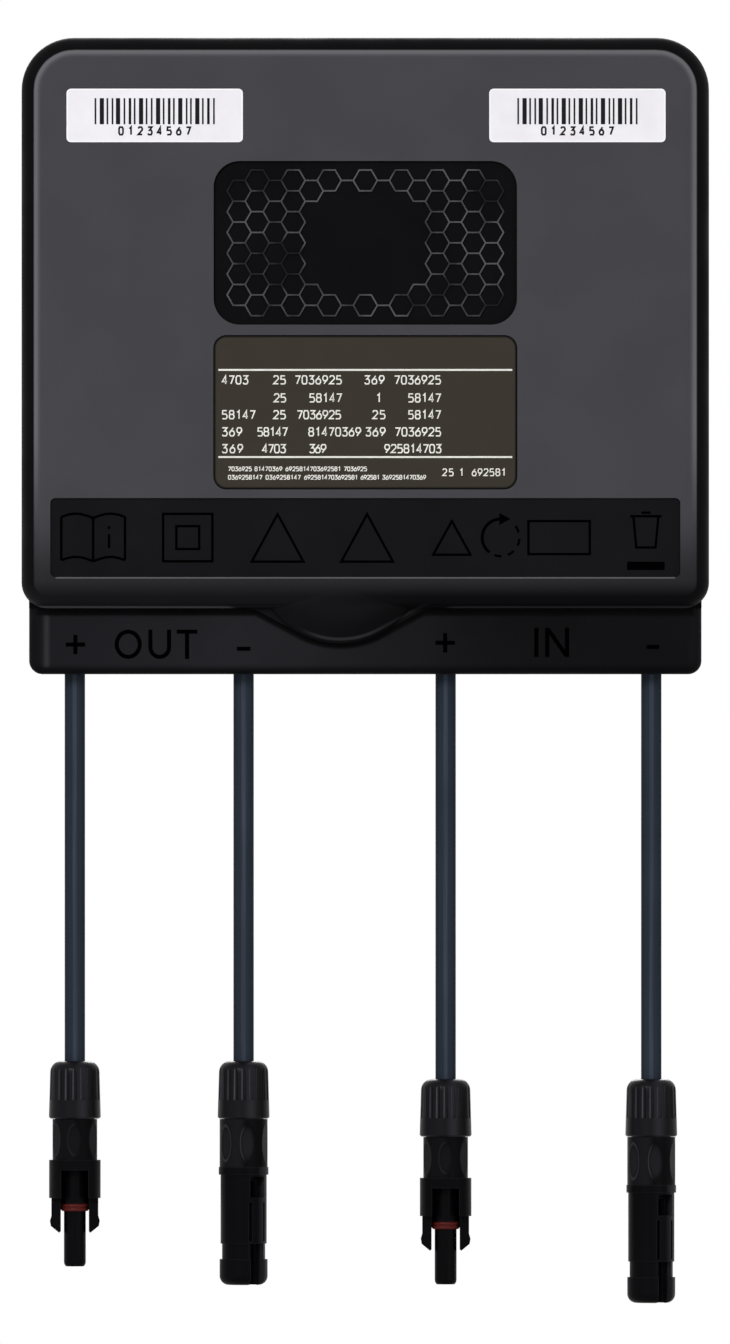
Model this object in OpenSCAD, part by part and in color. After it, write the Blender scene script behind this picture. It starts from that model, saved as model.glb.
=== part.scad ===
// Solar power optimizer: a moulded cover over a rear tray, with four hanging leads.
// Millimetres. The front faces -Y, the flat back lies on Y = 0 and Z is up.
// The origin is the centre of the back face. Depths are measured forward from the back.

/* [Housing] */
// Width across the cover
housing_w = 229; // [226:1:245]
// Height of the cover and the cable strip together
housing_h = 212; // [206:1:230]
// Depth from the back to the cover's front face
housing_d = 36; // [35:1:42]
// Height of the cable strip that shows below the cover
strip_h = 22; // [20:1:26]
// Depth from the back to the front of the cable strip
strip_d = 26; // [25:0.5:27]
// Gap between the pieces that slide into each other
shell_fit = 0.2; // [0.1:0.05:0.3]

/* [Cover] */
// Radius of the cover's upper corners
cover_top_r = 17.5; // [14:0.5:24]
// Radius of the cover's lower corners
cover_bottom_r = 8.5; // [8.2:0.1:12]
// Rounding of the cover's front edge
cover_edge_r = 8; // [4:0.5:8]
// Wall of the cover's skirt
cover_wall = 2.25; // [1.8:0.05:3]
// Thickness of the cover's front
cover_face_t = 3; // [2.4:0.1:4]
// Depth of the skirt's rear edge
skirt_d = 5; // [3:0.5:10]
// Middle of the lip on the cover's lower edge
lip_x = -8.4; // [-20:0.2:0]
// How far the lip reaches below the cover
lip_drop = 11.8; // [9:0.1:14]
// Radius of the lip's lower arc
lip_r = 28.3; // [26:0.1:32]
// Slope of the lip's flanks, in degrees
lip_slope = 28; // [24:1:34]
// Radius of the blend from the lip to the cover's edge
lip_blend_r = 10; // [6:0.5:14]
// Thickness of the lip at its lower edge
lip_edge_t = 1.6; // [1.2:0.1:2.4]
// Width of the curve that blends the lip into the cover's face
lip_curve_w = 21; // [18:0.5:22]

/* [Recesses in the cover] */
// Width of the honeycomb recess
comb_w = 101; // [98:0.5:106]
// Height of the honeycomb recess
comb_h = 54.5; // [54:0.5:58]
// Corner radius of the honeycomb recess
comb_r = 8.7; // [4:0.1:9]
// Height of the honeycomb recess's middle above the origin
comb_z = 37.6; // [34:0.2:40]
// Depth of the honeycomb recess
comb_depth = 1.4; // [1:0.1:1.6]
// Side of one hexagon
hex_side = 4; // [3.6:0.1:4.1]
// Width of the ridge between hexagons
ridge_w = 0.5; // [0.4:0.1:0.8]
// Height of the ridge above the recess's floor
ridge_h = 0.6; // [0.3:0.1:0.9]
// Gap between the icon band and the cover's sides
band_margin = 9.65; // [9:0.05:14]
// Height of the icon band
band_h = 26.3; // [22:0.1:27]
// Height of the icon band's middle above the origin
band_z = -60.5; // [-61:0.1:-58]
// Corner radius of the icon band
band_r = 1.7; // [1:0.1:4]
// Depth of the icon band
band_depth = 0.8; // [0.6:0.1:1.4]
// Bevel along the icon band's lower edge
band_bevel = 0.5; // [0.2:0.1:0.5]

/* [Labels] */
// Thickness of the labels
label_t = 0.3; // [0.2:0.05:0.5]
// Width of a serial label
serial_w = 58.7; // [50:0.1:62]
// Height of a serial label
serial_h = 17.8; // [14:0.1:22]
// Middle of the left serial label from the left side
serial_left_inset = 44.4; // [42.5:0.1:48.5]
// Middle of the right serial label from the right side
serial_right_inset = 43.9; // [42.5:0.1:48.5]
// Middle of the serial labels below the top
serial_drop = 26; // [22:0.5:28]
// Corner radius of a serial label
serial_r = 1.5; // [0.5:0.1:4]
// Width of the rating label
rating_w = 100.4; // [90:0.1:110]
// Height of the rating label
rating_h = 50.6; // [44:0.1:52]
// Height of the rating label's middle
rating_z = -18.8; // [-20:0.1:-17]
// Corner radius of the rating label
rating_r = 4; // [1:0.5:8]
// Depth of the recess that takes the rating label
rating_sink = 0.5; // [0.3:0.05:0.8]
// Gap between the rating label and the edge of its recess
rating_gap = 0.4; // [0.2:0.1:0.8]

/* [Tray] */
// Wall of the tray
tray_wall = 2.5; // [2:0.1:3]
// Thickness of the tray's floor
tray_floor = 3; // [2.4:0.1:3.6]
// Rounding of the cable strip's edges
strip_edge_r = 3.5; // [2:0.5:4]
// Corner radius of the cable strip
strip_corner_r = 4.5; // [4.2:0.1:8]
// Height of the tray's rim above the cover's lower edge
rim_h = 6; // [5:0.5:8]
// Corner radius inside the tray at the bottom
cavity_r = 3; // [2:0.5:6]
// Thickness of the cover's gasket
gasket_t = 2; // [1.5:0.1:2.5]
// Width of one cored pocket behind the cable strip
pocket_w = 12; // [8:0.5:16]
// Rib between cored pockets and around the cable bores
pocket_rib = 2.2; // [1.8:0.1:3]

/* [Fasteners] */
// Diameter of the posts that take the cover screws
post_d = 10; // [9:0.5:12]
// Diameter of the cover screws
screw_d = 4; // [3:0.1:4]
// Diameter of the cover screws' heads
screw_head_d = 7; // [6:0.1:7.4]
// Height of the cover screws' heads
screw_head_h = 2.6; // [2:0.1:3]
// Radial gap round a screw
screw_fit = 0.15; // [0.1:0.05:0.3]
// Spacing of the four threaded inserts in the back
insert_pitch = 100; // [90:1:104]
// Outer diameter of an insert
insert_d = 7; // [6.5:0.1:7.6]
// Bore of an insert
insert_bore_d = 4.2; // [3.8:0.1:5]
// Length of an insert
insert_l = 6.5; // [5:0.1:6.8]

/* [Electronics] */
// Gap between the circuit board and the tray's side walls
board_gap = 6.5; // [6:0.5:12]
// Height of the circuit board
board_h = 148; // [140:1:150]
// Height of the circuit board's middle
board_z = 11; // [10:0.5:12]
// Thickness of the circuit board
board_t = 1.6; // [1:0.1:2]
// Depth of the circuit board's back
board_d = 9; // [9:0.1:10]
// Diameter of the board screws
board_screw_d = 3; // [2.5:0.1:3.2]
// Width of a choke's core
choke_w = 40; // [36:1:44]
// Height of a choke above the board
choke_t = 18; // [14:0.5:19]
// Diameter of a choke's winding
winding_d = 32; // [28:0.5:34]
// Diameter of the bulk capacitors
bulk_d = 16; // [12:0.5:18]
// Height of the bulk capacitors
bulk_t = 18; // [14:0.5:19]

/* [Leads] */
// Distance of the positive output lead from the left side
out_pos_inset = 17.6; // [16.5:0.1:22]
// Distance of the negative output lead from the left side
out_neg_inset = 73.9; // [69:0.1:78]
// Distance of the positive input lead from the right side
in_pos_inset = 87.7; // [82:0.1:92]
// Distance of the negative input lead from the right side
in_neg_inset = 19.1; // [16.5:0.1:22]
// Depth of the leads' axes
lead_d = 13.5; // [13:0.1:14.5]
// Diameter of a cable over its jacket
cable_d = 6.8; // [6:0.1:7.2]
// Diameter of a cable's bare conductor
conductor_d = 3.2; // [2.8:0.1:3.4]
// Radial gap round a cable
cable_fit = 0.2; // [0.1:0.05:0.4]
// Outer diameter of a gland seal
gland_d = 12.4; // [11.5:0.1:13]
// Length of the plain bore below a gland seal
gland_wall = 8; // [6:0.5:9]
// Length of a gland seal
gland_seal_l = 10; // [8:0.5:11]
// Length of the cap that holds a gland seal
gland_cap_l = 7; // [5:0.5:8]

/* [Connectors] */
// Length of a connector's nut
nut_l = 19.2; // [18.8:0.1:21]
// Diameter of a nut at its open end
nut_d = 17.3; // [16.8:0.1:18]
// Diameter of a nut at its shoulder
nut_top_d = 16.5; // [16.2:0.1:16.8]
// Radius of a nut's shoulder
nut_shoulder_r = 3.8; // [2.5:0.1:4]
// Number of grooves round a nut
nut_grooves = 20; // [12:1:22]
// Diameter of the threaded sleeve inside a nut
sleeve_d = 13; // [12.6:0.1:13]
// Radial gap between the pieces of a connector
part_fit = 0.1; // [0.05:0.01:0.15]
// Diameter of a plug's grip
plug_d = 14.9; // [14.4:0.1:15.6]
// Length of a plug's grip
plug_grip_l = 13.6; // [13:0.1:16]
// Width of a plug's collar
collar_d = 17.2; // [16.6:0.1:18]
// Length of a plug's collar
collar_l = 12.7; // [12:0.1:14]
// Width of the window in a plug's collar
collar_window_w = 9; // [8.8:0.1:9.2]
// Length of a plug's latch arms beyond its collar
arm_l = 11.6; // [10:0.1:13]
// Width of a latch arm
arm_w = 6; // [4:0.1:7]
// Diameter of a plug's snout
snout_d = 7.3; // [7.2:0.1:7.8]
// Length of a plug's snout beyond its collar
snout_l = 23.2; // [20:0.1:26]
// Diameter of a plug's sealing ring
ring_d = 9.2; // [8.4:0.1:9.2]
// Length of a plug's sealing ring
ring_l = 2.5; // [2:0.1:3]
// Diameter of a socket's grip and barrel
socket_d = 16; // [15.6:0.1:16.4]
// Width of a socket's barrel across its flats
socket_flats = 14.8; // [14.4:0.1:15.2]
// Length of a socket's grip
socket_grip_l = 16; // [15.6:0.1:18]
// Length of the ring below a socket's grip
socket_ring_l = 2.5; // [2:0.1:3]
// Length of a socket's barrel
barrel_l = 23; // [22:0.1:25]
// Length of the neck below a socket's barrel
neck_l = 5.2; // [4:0.1:6]
// Length of the cap at a socket's mouth
mouth_l = 8.6; // [8:0.1:10]
// Bore of a socket's mouth
mouth_bore_d = 9.6; // [9:0.1:10]
// Turn of the sockets about their axes, in degrees
socket_turn = 50; // [0:1:90]
// Diameter of a pin contact
pin_d = 4; // [3.5:0.1:4]
// Outer diameter of a socket contact
contact_d = 5.6; // [5.4:0.1:5.6]
// Bore of a socket contact
contact_bore_d = 4.04; // [4:0.01:4.2]

/* [Hidden] */
$fn = 64;
eps = 0.01;

// Levels and half widths of the housing
top_z = housing_h / 2;
strip_z = -housing_h / 2;
cover_z = strip_z + strip_h;
tray_half = housing_w / 2 - cover_wall - shell_fit;
tray_top = top_z - cover_wall - shell_fit;
tray_corner_r = cover_top_r - cover_wall - shell_fit;
cavity_half = tray_half - tray_wall;
cavity_top = tray_top - tray_wall;
cavity_corner_r = tray_corner_r - tray_wall;
cavity_z = cover_z + rim_h;
cover_inner_d = housing_d - cover_face_t;
lead_xs = [
    -housing_w / 2 + out_pos_inset, -housing_w / 2 + out_neg_inset,
    housing_w / 2 - in_pos_inset, housing_w / 2 - in_neg_inset,
];

// The lip, outlined about the middle of the cover's lower edge
lip_low_r = lip_r * sin(lip_slope);
lip_low_rise = lip_r * (1 - cos(lip_slope));
lip_half = lip_low_r + (lip_drop - lip_low_rise) / tan(lip_slope) + lip_blend_r * tan(lip_slope / 2);
lip_sink = 2;
lip_root = cover_edge_r + lip_sink;
lip_back_d = strip_d + shell_fit;
lip_edge_d = lip_back_d + lip_edge_t;
lip_under = 0.1;
lip_top_d = housing_d - lip_under;
lip_land = 0.4;
lip_bevel_w = 0.6;
lip_bevel_d = 1.4;
lip_curve_run = lip_curve_w - lip_bevel_w;
lip_curve_fall = lip_top_d - lip_edge_d - lip_bevel_d;
lip_curve_r = (lip_curve_run ^ 2 + lip_curve_fall ^ 2) / (2 * lip_curve_fall);
lip_curve_span = asin(lip_curve_run / lip_curve_r);
lip_curve_steps = 8;

// Honeycomb: columns of flat-topped hexagons. The middle is left open, and above and below it
// the odd columns have one hexagon each, linked by ridges across the even ones
hex_columns = 15;
hex_open_from = 4;
hex_open_to = 10;
hex_pitch = 1.5 * hex_side;
hex_row = hex_side * sqrt(3);
hex_short = 6;

// Posts for the cover screws, in two rows of three
post_inset = 7;
post_sink = 1;
cover_post_step = 1.2;
cover_post_d = post_d - 2 * cover_post_step;
post_top_z = cavity_top - post_d / 2 + post_sink / 2;
post_low_z = cavity_z + post_d / 2 - post_sink;
post_side_x = tray_half - 2 * post_inset;
posts = [
    [-post_side_x, post_top_z], [0, post_top_z], [post_side_x, post_top_z],
    for (i = [0:2]) [(lead_xs[i] + lead_xs[i + 1]) / 2, post_low_z],
];
head_sink = 0.6;
counterbore = screw_head_h + head_sink;
screw_bite = 5;
screw_hex_d = 3;
screw_hex_depth = 1.4;
// Spare depth at the end of a blind bore
bore_spare = 0.5;

// Inserts in the back and their bosses
insert_wall = 1.5;
insert_clearance = 1.2;
insert_boss_d = board_d - insert_clearance;
inserts = [for (x = [-1, 1], z = [-1, 1]) [x, z] * insert_pitch / 2];

// Circuit board, its standoffs and its parts
board_w = 2 * (cavity_half - board_gap);
board_r = 4;
board_top_d = board_d + board_t;
standoff_d = 7;
standoff_inset_x = 18;
standoff_inset_z = 8;
standoffs = [for (x = [-1, 1], z = [-1, 1])
    [x * (board_w / 2 - standoff_inset_x), board_z + z * (board_h / 2 - standoff_inset_z)]];
board_screw_head_d = 5.5;
board_screw_head_h = 2;
board_screw_l = 6;
board_hex_d = 2.4;
board_hex_depth = 1;
spreader_w = 76;
spreader_h = 58;
spreader_t = 2;
spreader_r = 3;
pad_t = 1;
pad_margin = 2;
pad_r = 1;
power_z = 22;
mosfet_w = 10;
mosfet_h = 15;
mosfet_pitch = 17;
mosfet_count = 4;
pad_h = 25;
mosfet_t = board_d - tray_floor - spreader_t - pad_t;
choke_x = 48;
choke_z = 28;
choke_h = 30;
choke_post_d = 14;
choke_yoke_t = 4;
winding_gap = 0.3;
choke_window_gap = 1;
bulk_z = -22;
bulk_xs = [-63, -21, 21, 63];
bulk_rim = 1;
film_z = 66;
film_xs = [-44, 0, 44];
film_size = [31, 12, 17];
film_r = 1.5;
chip_w = 14;
chip_t = 1.4;
chip_lead_w = 16.4;
chip_lead_t = 0.3;
chip_lead_inset = 1;
chip_row_w = chip_w - 2 * chip_lead_inset;

// Leads: name and route of each
lead_names = ["out_pos", "out_neg", "in_pos", "in_neg"];
OUT_POS = 0;
OUT_NEG = 1;
IN_POS = 2;
IN_NEG = 3;
// Heights of a cable's points above and below the underside of the strip, chosen by hand
out_route = [29, 24, 16, 8, 0, -10, -20, -32, -44, -56, -68, -80, -92, -104, -116, -128, -138, -147];
in_route = [29, 24, 16, 8, 0, -10, -20, -32, -44, -56, -68, -80, -92, -104, -116, -128, -140, -153];
lead_routes = [out_route, out_route, in_route, in_route];
tube_sides = 12;
// How far a jacket reaches into its connector, and a conductor beyond its jacket
jacket_l = 18;
conductor_l = 9;
lug_d = 5;
lug_gap = 0.5;
lug_l = 10;
lug_tab_w = 6;
lug_tab_l = 16;
lug_tab_t = 1;
lug_tab_overlap = 4;

// Connector levels, measured down from the top of the nut
nut_hole_l = 4;
nut_groove_r = 0.8;
nut_groove_depth = 0.4;
nut_groove_from = 0.6;
nut_groove_to = 13;
nut_edge = 0.5;
sleeve_from = 7;
sleeve_bore_d = 10;
// Gap between flat faces of a connector's pieces
face_gap = 0.2;
sleeve_floor = jacket_l + face_gap;
body_from = nut_l + face_gap;
clamp_from = nut_hole_l + face_gap;
clamp_to = 10;
clamp_slits = 6;
clamp_slit_w = 0.8;
clamp_edge = 1;
jacket_end = 0.6;
seal_to = jacket_l - jacket_end;
collar_from = body_from + plug_grip_l;
collar_to = collar_from + collar_l;
collar_depth = 15.4;
collar_roof = 3.4;
collar_back_t = 1.6;
collar_apron_l = 4;
core_d = 8.2;
core_step = 1.8;
core_to = collar_to + core_step;
ring_from = core_to + part_fit;
snout_to = collar_to + snout_l;
snout_tip_r = 1.8;
arm_from_r = ring_d / 2 + part_fit;
arm_to_r = 7.8;
arm_barb = 0.5;
arm_barb_l = 4;
arm_barb_ramp = 1.7;
arm_barb_taper = 0.3;
arm_tip_edge = 0.5;
plug_dishes = 6;
dish_depth = 0.45;
dish_r = 48;
plug_dish_r = 36;
socket_ring_from = body_from + socket_grip_l;
barrel_from = socket_ring_from + socket_ring_l;
neck_from = barrel_from + barrel_l;
mouth_from = neck_from + neck_l;
mouth_to = mouth_from + mouth_l;
barrel_roof = 2;
mouth_floor = barrel_from + barrel_roof;
barrel_step = 0.6;
socket_ring_d = socket_d + barrel_step;
mouth_step = 0.4;
neck_step = 0.8;
mouth_edge_r = 3;
channel_half = 6.4;
channel_w = 4;
latch_w = 6;
latch_l = 7;
latch_sink = 2;
latch_roof = 0.6;
latch_from = barrel_from + latch_roof;
slot_w = 1;
slot_l = 13;
slot_depth = 1.2;
slot_y = 2.9;
slot_gap = 1.6;
keyway_depth = 1.3;
slot_from = latch_from + latch_l + slot_gap;
crimp_from = jacket_l + jacket_end;
crimp_d = 5;
crimp_to = 30;
crimp_end = 0.4;
crimp_bore_l = conductor_l + crimp_end;
pin_sink = 6.8;
pin_tip = mouth_to - pin_sink;
pin_tip_r = 1;
contact_sink = 1.6;
contact_tip = snout_to - contact_sink;
contact_bore_l = 16;

// Colours
cover_colour = "#434347";
tray_colour = "#1d1c1f";
rubber_colour = "#141416";
connector_colour = "#161518";
cable_colour = "#272d36";
ring_colour = "#5a1512";
steel_colour = "#b4b6ba";
brass_colour = "#b8923e";
tin_colour = "#c4c6c8";

// Shapes shared by the pieces

// Turns a plan drawn on X and Y, with depth on Z, to stand upright with its front towards -Y
module upright() {
    rotate([90, 0, 0]) children();
}

// Points of an arc about c, from angle a to angle b
function arc(c, r, a, b, steps) =
    [for (i = [0:steps]) c + r * [cos(a + (b - a) * i / steps), sin(a + (b - a) * i / steps)]];

// Outline from bottom to top, with its own radius at the upper and lower corners
module outline(w, bottom, top, top_r, bottom_r) {
    translate([-w / 2, bottom + bottom_r]) square([w, top - top_r - bottom - bottom_r]);
    translate([-w / 2 + top_r, top - top_r - eps]) square([w - 2 * top_r, top_r + eps]);
    translate([-w / 2 + bottom_r, bottom]) square([w - 2 * bottom_r, bottom_r + eps]);
    for (side = [-1, 1]) {
        translate([side * (w / 2 - top_r), top - top_r]) circle(top_r);
        translate([side * (w / 2 - bottom_r), bottom + bottom_r]) circle(bottom_r);
    }
}

// Plate with the same radius at all corners, about the point [x, z]
module plate(w, h, r, from, to, x = 0, z = 0) {
    translate([x, z, from]) linear_extrude(to - from) outline(w, -h / 2, h / 2, r, r);
}

// Section of an edge: r wide, h tall, with its outer front corner rounded
module edge_section(r, h, edge_r) {
    square([r, h - edge_r]);
    square([r - edge_r, h]);
    translate([r - edge_r, h - edge_r]) circle(edge_r);
}

// Quarter of a turned edge, for a corner
module edge_corner(r, h, edge_r) {
    rotate_extrude(angle = 90) intersection() {
        edge_section(r, h, edge_r);
        square([r, h]);
    }
}

// Straight run of an edge along Y
module edge_run(r, h, edge_r, l) {
    rotate([90, 0, 0]) translate([0, 0, -l]) linear_extrude(l) edge_section(r, h, edge_r);
}

// Block from depth 0 to h whose front edge is rounded all round
module rounded_block(w, bottom, top, top_r, bottom_r, h, edge_r) {
    half = w / 2;
    side_l = top - top_r - bottom - bottom_r;
    translate([-half + top_r, bottom + bottom_r, 0]) cube([w - 2 * top_r, side_l, h]);
    for (side = [0, 1]) mirror([side, 0, 0]) {
        translate([half - top_r, bottom + bottom_r, 0]) edge_run(top_r, h, edge_r, side_l);
        translate([half - top_r, top - top_r, 0]) edge_corner(top_r, h, edge_r);
        translate([half - bottom_r, bottom + bottom_r, 0]) rotate([0, 0, -90])
            edge_corner(bottom_r, h, edge_r);
    }
    translate([half - top_r, top - top_r, 0]) rotate([0, 0, 90])
        edge_run(top_r, h, edge_r, w - 2 * top_r);
    translate([-half + bottom_r, bottom + bottom_r, 0]) rotate([0, 0, -90])
        edge_run(bottom_r, h, edge_r, w - 2 * bottom_r);
}

// Tube swept along points that run mostly up and down
function ring_of(points, i, r) =
    let (
        before = points[max(i - 1, 0)],
        after = points[min(i + 1, len(points) - 1)],
        along = (after - before) / norm(after - before),
        across = cross(along, [1, 0, 0]),
        u = across / norm(across),
        v = cross(along, u)
    )
    [for (k = [0:tube_sides - 1])
        points[i] + r * (cos(360 * k / tube_sides) * u + sin(360 * k / tube_sides) * v)];

module tube(points, d) {
    n = len(points);
    rings = [for (i = [0:n - 1]) each ring_of(points, i, d / 2)];
    sides = [for (i = [0:n - 2], k = [0:tube_sides - 1])
        let (next = (k + 1) % tube_sides)
        [i * tube_sides + k, (i + 1) * tube_sides + k,
         (i + 1) * tube_sides + next, i * tube_sides + next]];
    first = [for (k = [0:tube_sides - 1]) k];
    last = [for (k = [0:tube_sides - 1]) n * tube_sides - 1 - k];
    polyhedron(rings, concat([first, last], sides));
}

// Ring about the Z axis between two levels
module ring(outer_d, inner_d, from, to) {
    translate([0, 0, from]) difference() {
        cylinder(d = outer_d, h = to - from);
        translate([0, 0, -1]) cylinder(d = inner_d, h = to - from + 2);
    }
}

// Cylinder about the Z axis between two levels
module rod(d, from, to) {
    translate([0, 0, from]) cylinder(d = d, h = to - from);
}

// Housing

module lip_outline() {
    low = [0, -lip_drop + lip_r];
    blend = [lip_half, -lip_blend_r];
    translate([lip_x, cover_z]) polygon(concat(
        [[-lip_half, lip_root]],
        arc([-blend.x, blend.y], lip_blend_r, 90, 90 - lip_slope, 6),
        arc(low, lip_r, 270 - lip_slope, 270 + lip_slope, 12),
        arc(blend, lip_blend_r, 90 + lip_slope, 90, 6),
        [[lip_half, lip_root]]
    ));
}

// The lip falls in a long curve from just under the cover's face to a thin bevelled edge
module lip() {
    outer_r = lip_r + 2 * lip_blend_r;
    curve = arc([lip_r - lip_curve_w, lip_top_d - lip_curve_r], lip_curve_r, 90 - lip_curve_span, 90,
        lip_curve_steps);
    intersection() {
        translate([0, 0, lip_back_d]) linear_extrude(housing_d - lip_back_d) lip_outline();
        translate([lip_x, cover_z - lip_drop + lip_r, 0]) rotate_extrude() polygon(concat(
            [[0, lip_back_d - 1], [outer_r, lip_back_d - 1]],
            [[outer_r, lip_edge_d], [lip_r + lip_land, lip_edge_d]],
            curve,
            [[0, lip_top_d]]
        ));
    }
}

function hex_x(column) = (column - (hex_columns - 1) / 2) * hex_pitch;

module hexagons(r) {
    for (column = [0:hex_columns - 1]) {
        cells = hex_short + column % 2;
        whole = column < hex_open_from || column > hex_open_to;
        linked = column > hex_open_from && column < hex_open_to && column % 2 == 0;
        for (cell = [0:cells - 1]) if (whole || !linked && (cell == 0 || cell == cells - 1))
            translate([hex_x(column), (cell - (cells - 1) / 2) * hex_row]) circle(r, $fn = 6);
    }
}

module hex_links() {
    for (column = [hex_open_from + 2:2:hex_open_to - 2], side = [-1, 1])
        translate([hex_x(column), side * hex_short / 2 * hex_row]) square([hex_side, ridge_w], center = true);
}

module honeycomb() {
    grow = ridge_w / sqrt(3);
    floor_d = housing_d - comb_depth;
    translate([0, comb_z, floor_d - eps]) linear_extrude(ridge_h + eps) {
        difference() {
            hexagons(hex_side + grow);
            hexagons(hex_side - grow);
        }
        hex_links();
    }
}

// Recess for the icons, with a bevelled lower edge
module icon_band() {
    band_w = housing_w - 2 * band_margin;
    plate(band_w, band_h, band_r, housing_d - band_depth, housing_d + 1, 0, band_z);
    translate([-band_w / 2 + band_r, band_z - band_h / 2, housing_d]) rotate([90, 0, 90])
        linear_extrude(band_w - 2 * band_r) polygon([
            [-band_bevel, 0], [0, -band_bevel], [band_bevel, -band_bevel], [band_bevel, 1], [-band_bevel, 1],
        ]);
}

module label_recess() {
    plate(rating_w + 2 * rating_gap, rating_h + 2 * rating_gap, rating_r + rating_gap,
        housing_d - rating_sink, housing_d + 1, 0, rating_z);
}

module cover_posts() {
    for (post = posts) translate([post.x, post.y, 0]) rod(cover_post_d, strip_d, cover_inner_d + eps);
}

module cover_post_bores() {
    for (post = posts) translate([post.x, post.y, 0])
        rod(screw_d + 2 * screw_fit, strip_d - 1, strip_d + screw_bite + bore_spare);
}

module cover_cavity() {
    skirt_top = tray_top + shell_fit;
    skirt_corner_r = tray_corner_r + shell_fit;
    skirt_w = 2 * (tray_half + shell_fit);
    low = strip_z - strip_h;
    translate([0, 0, -1]) linear_extrude(lip_back_d + 1)
        outline(skirt_w, low, skirt_top, skirt_corner_r, strip_corner_r);
    translate([0, 0, strip_d - 1]) linear_extrude(gasket_t + 1)
        outline(skirt_w, cover_z + cover_wall, skirt_top, skirt_corner_r, cavity_r);
    translate([0, 0, strip_d]) linear_extrude(cover_inner_d - strip_d)
        outline(2 * cavity_half, cavity_z, cavity_top, cavity_corner_r, cavity_r);
}

module front_cover() {
    color(cover_colour) upright() {
        difference() {
            union() {
                difference() {
                    union() {
                        translate([0, 0, skirt_d])
                            rounded_block(housing_w, cover_z, top_z, cover_top_r, cover_bottom_r,
                                housing_d - skirt_d, cover_edge_r);
                        lip();
                    }
                    cover_cavity();
                    plate(comb_w, comb_h, comb_r, housing_d - comb_depth, housing_d + 1, 0, comb_z);
                    icon_band();
                    label_recess();
                }
                cover_posts();
                honeycomb();
            }
            cover_post_bores();
        }
    }
}

module strip_bores() {
    for (x = lead_xs) translate([x, strip_z, lead_d]) rotate([-90, 0, 0]) {
        rod(cable_d + 2 * cable_fit, -1, gland_wall + 1);
        rod(gland_d, gland_wall, cavity_z - strip_z + 1);
    }
}

// Pockets that core the strip out from the back, between the cable bores
module strip_pockets() {
    stops = concat([-tray_half - gland_d / 2], lead_xs, [tray_half + gland_d / 2]);
    low = strip_z + strip_edge_r;
    high = cavity_z - pocket_rib;
    for (i = [0:len(stops) - 2]) {
        from = stops[i] + gland_d / 2 + pocket_rib;
        to = stops[i + 1] - gland_d / 2 - pocket_rib;
        count = floor((to - from + pocket_rib) / (pocket_w + pocket_rib));
        if (count > 0) {
            pitch = (to - from + pocket_rib) / count;
            for (k = [0:count - 1]) translate([from + k * pitch, low, -1])
                cube([pitch - pocket_rib, high - low, strip_d - strip_edge_r + 1]);
        }
    }
}

module back_tray() {
    color(tray_colour) upright() difference() {
        union() {
            difference() {
                union() {
                    linear_extrude(strip_d)
                        outline(2 * tray_half, cover_z, tray_top, tray_corner_r, cavity_r);
                    translate([-tray_half, cover_z, 0]) cube([2 * tray_half, rim_h, strip_d]);
                }
                translate([0, 0, tray_floor]) linear_extrude(strip_d)
                    outline(2 * cavity_half, cavity_z, cavity_top, cavity_corner_r, cavity_r);
            }
            intersection() {
                rounded_block(2 * tray_half, strip_z, top_z, strip_corner_r, strip_corner_r,
                    strip_d, strip_edge_r);
                translate([-housing_w, strip_z - 1, -1])
                    cube([2 * housing_w, strip_h + 1, strip_d + 2]);
            }
            for (post = posts) translate([post.x, post.y, 0]) rod(post_d, 0, strip_d);
            for (at = standoffs) translate([at.x, at.y, 0]) rod(standoff_d, 1, board_d);
            for (at = inserts) translate([at.x, at.y, 0])
                rod(insert_d + 2 * insert_wall, 1, insert_boss_d);
        }
        strip_bores();
        strip_pockets();
        for (post = posts) translate([post.x, post.y, 0]) {
            rod(screw_d + 2 * screw_fit, -1, strip_d + 1);
            rod(screw_head_d + 4 * screw_fit, -1, counterbore);
        }
        for (at = standoffs) translate([at.x, at.y, 0])
            rod(board_screw_d + 2 * screw_fit, board_top_d - board_screw_l - bore_spare, board_d + 1);
        for (at = inserts) translate([at.x, at.y, 0]) rod(insert_d, -1, insert_l);
    }
}

module cover_gasket() {
    color(rubber_colour) upright() translate([0, 0, strip_d]) linear_extrude(gasket_t) difference() {
        outline(2 * tray_half, cover_z + cover_wall + shell_fit, tray_top, tray_corner_r, cavity_r);
        outline(2 * cavity_half, cavity_z, cavity_top, cavity_corner_r, cavity_r);
    }
}

module cover_screws() {
    color(steel_colour) upright() for (post = posts) translate([post.x, post.y, 0]) difference() {
        union() {
            rod(screw_head_d, head_sink, counterbore);
            rod(screw_d, counterbore - 1, strip_d + screw_bite);
        }
        rod(screw_hex_d, head_sink - 1, head_sink + screw_hex_depth, $fn = 6);
    }
}

module mount_inserts() {
    color(brass_colour) upright() for (at = inserts) translate([at.x, at.y, 0])
        ring(insert_d, insert_bore_d, 0, insert_l);
}

// Labels

module serial_label(x) {
    color("#f0eff3") upright()
        plate(serial_w, serial_h, serial_r, housing_d, housing_d + label_t, x, top_z - serial_drop);
}

module rating_label() {
    from = housing_d - rating_sink;
    color("#46413a") upright()
        plate(rating_w, rating_h, rating_r, from, from + label_t, 0, rating_z);
}

// Electronics

module circuit_board() {
    color("#1f5a38") upright() difference() {
        plate(board_w, board_h, board_r, board_d, board_top_d, 0, board_z);
        for (at = standoffs) translate([at.x, at.y, 0])
            rod(board_screw_d + 2 * screw_fit, board_d - 1, board_top_d + 1);
    }
}

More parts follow.
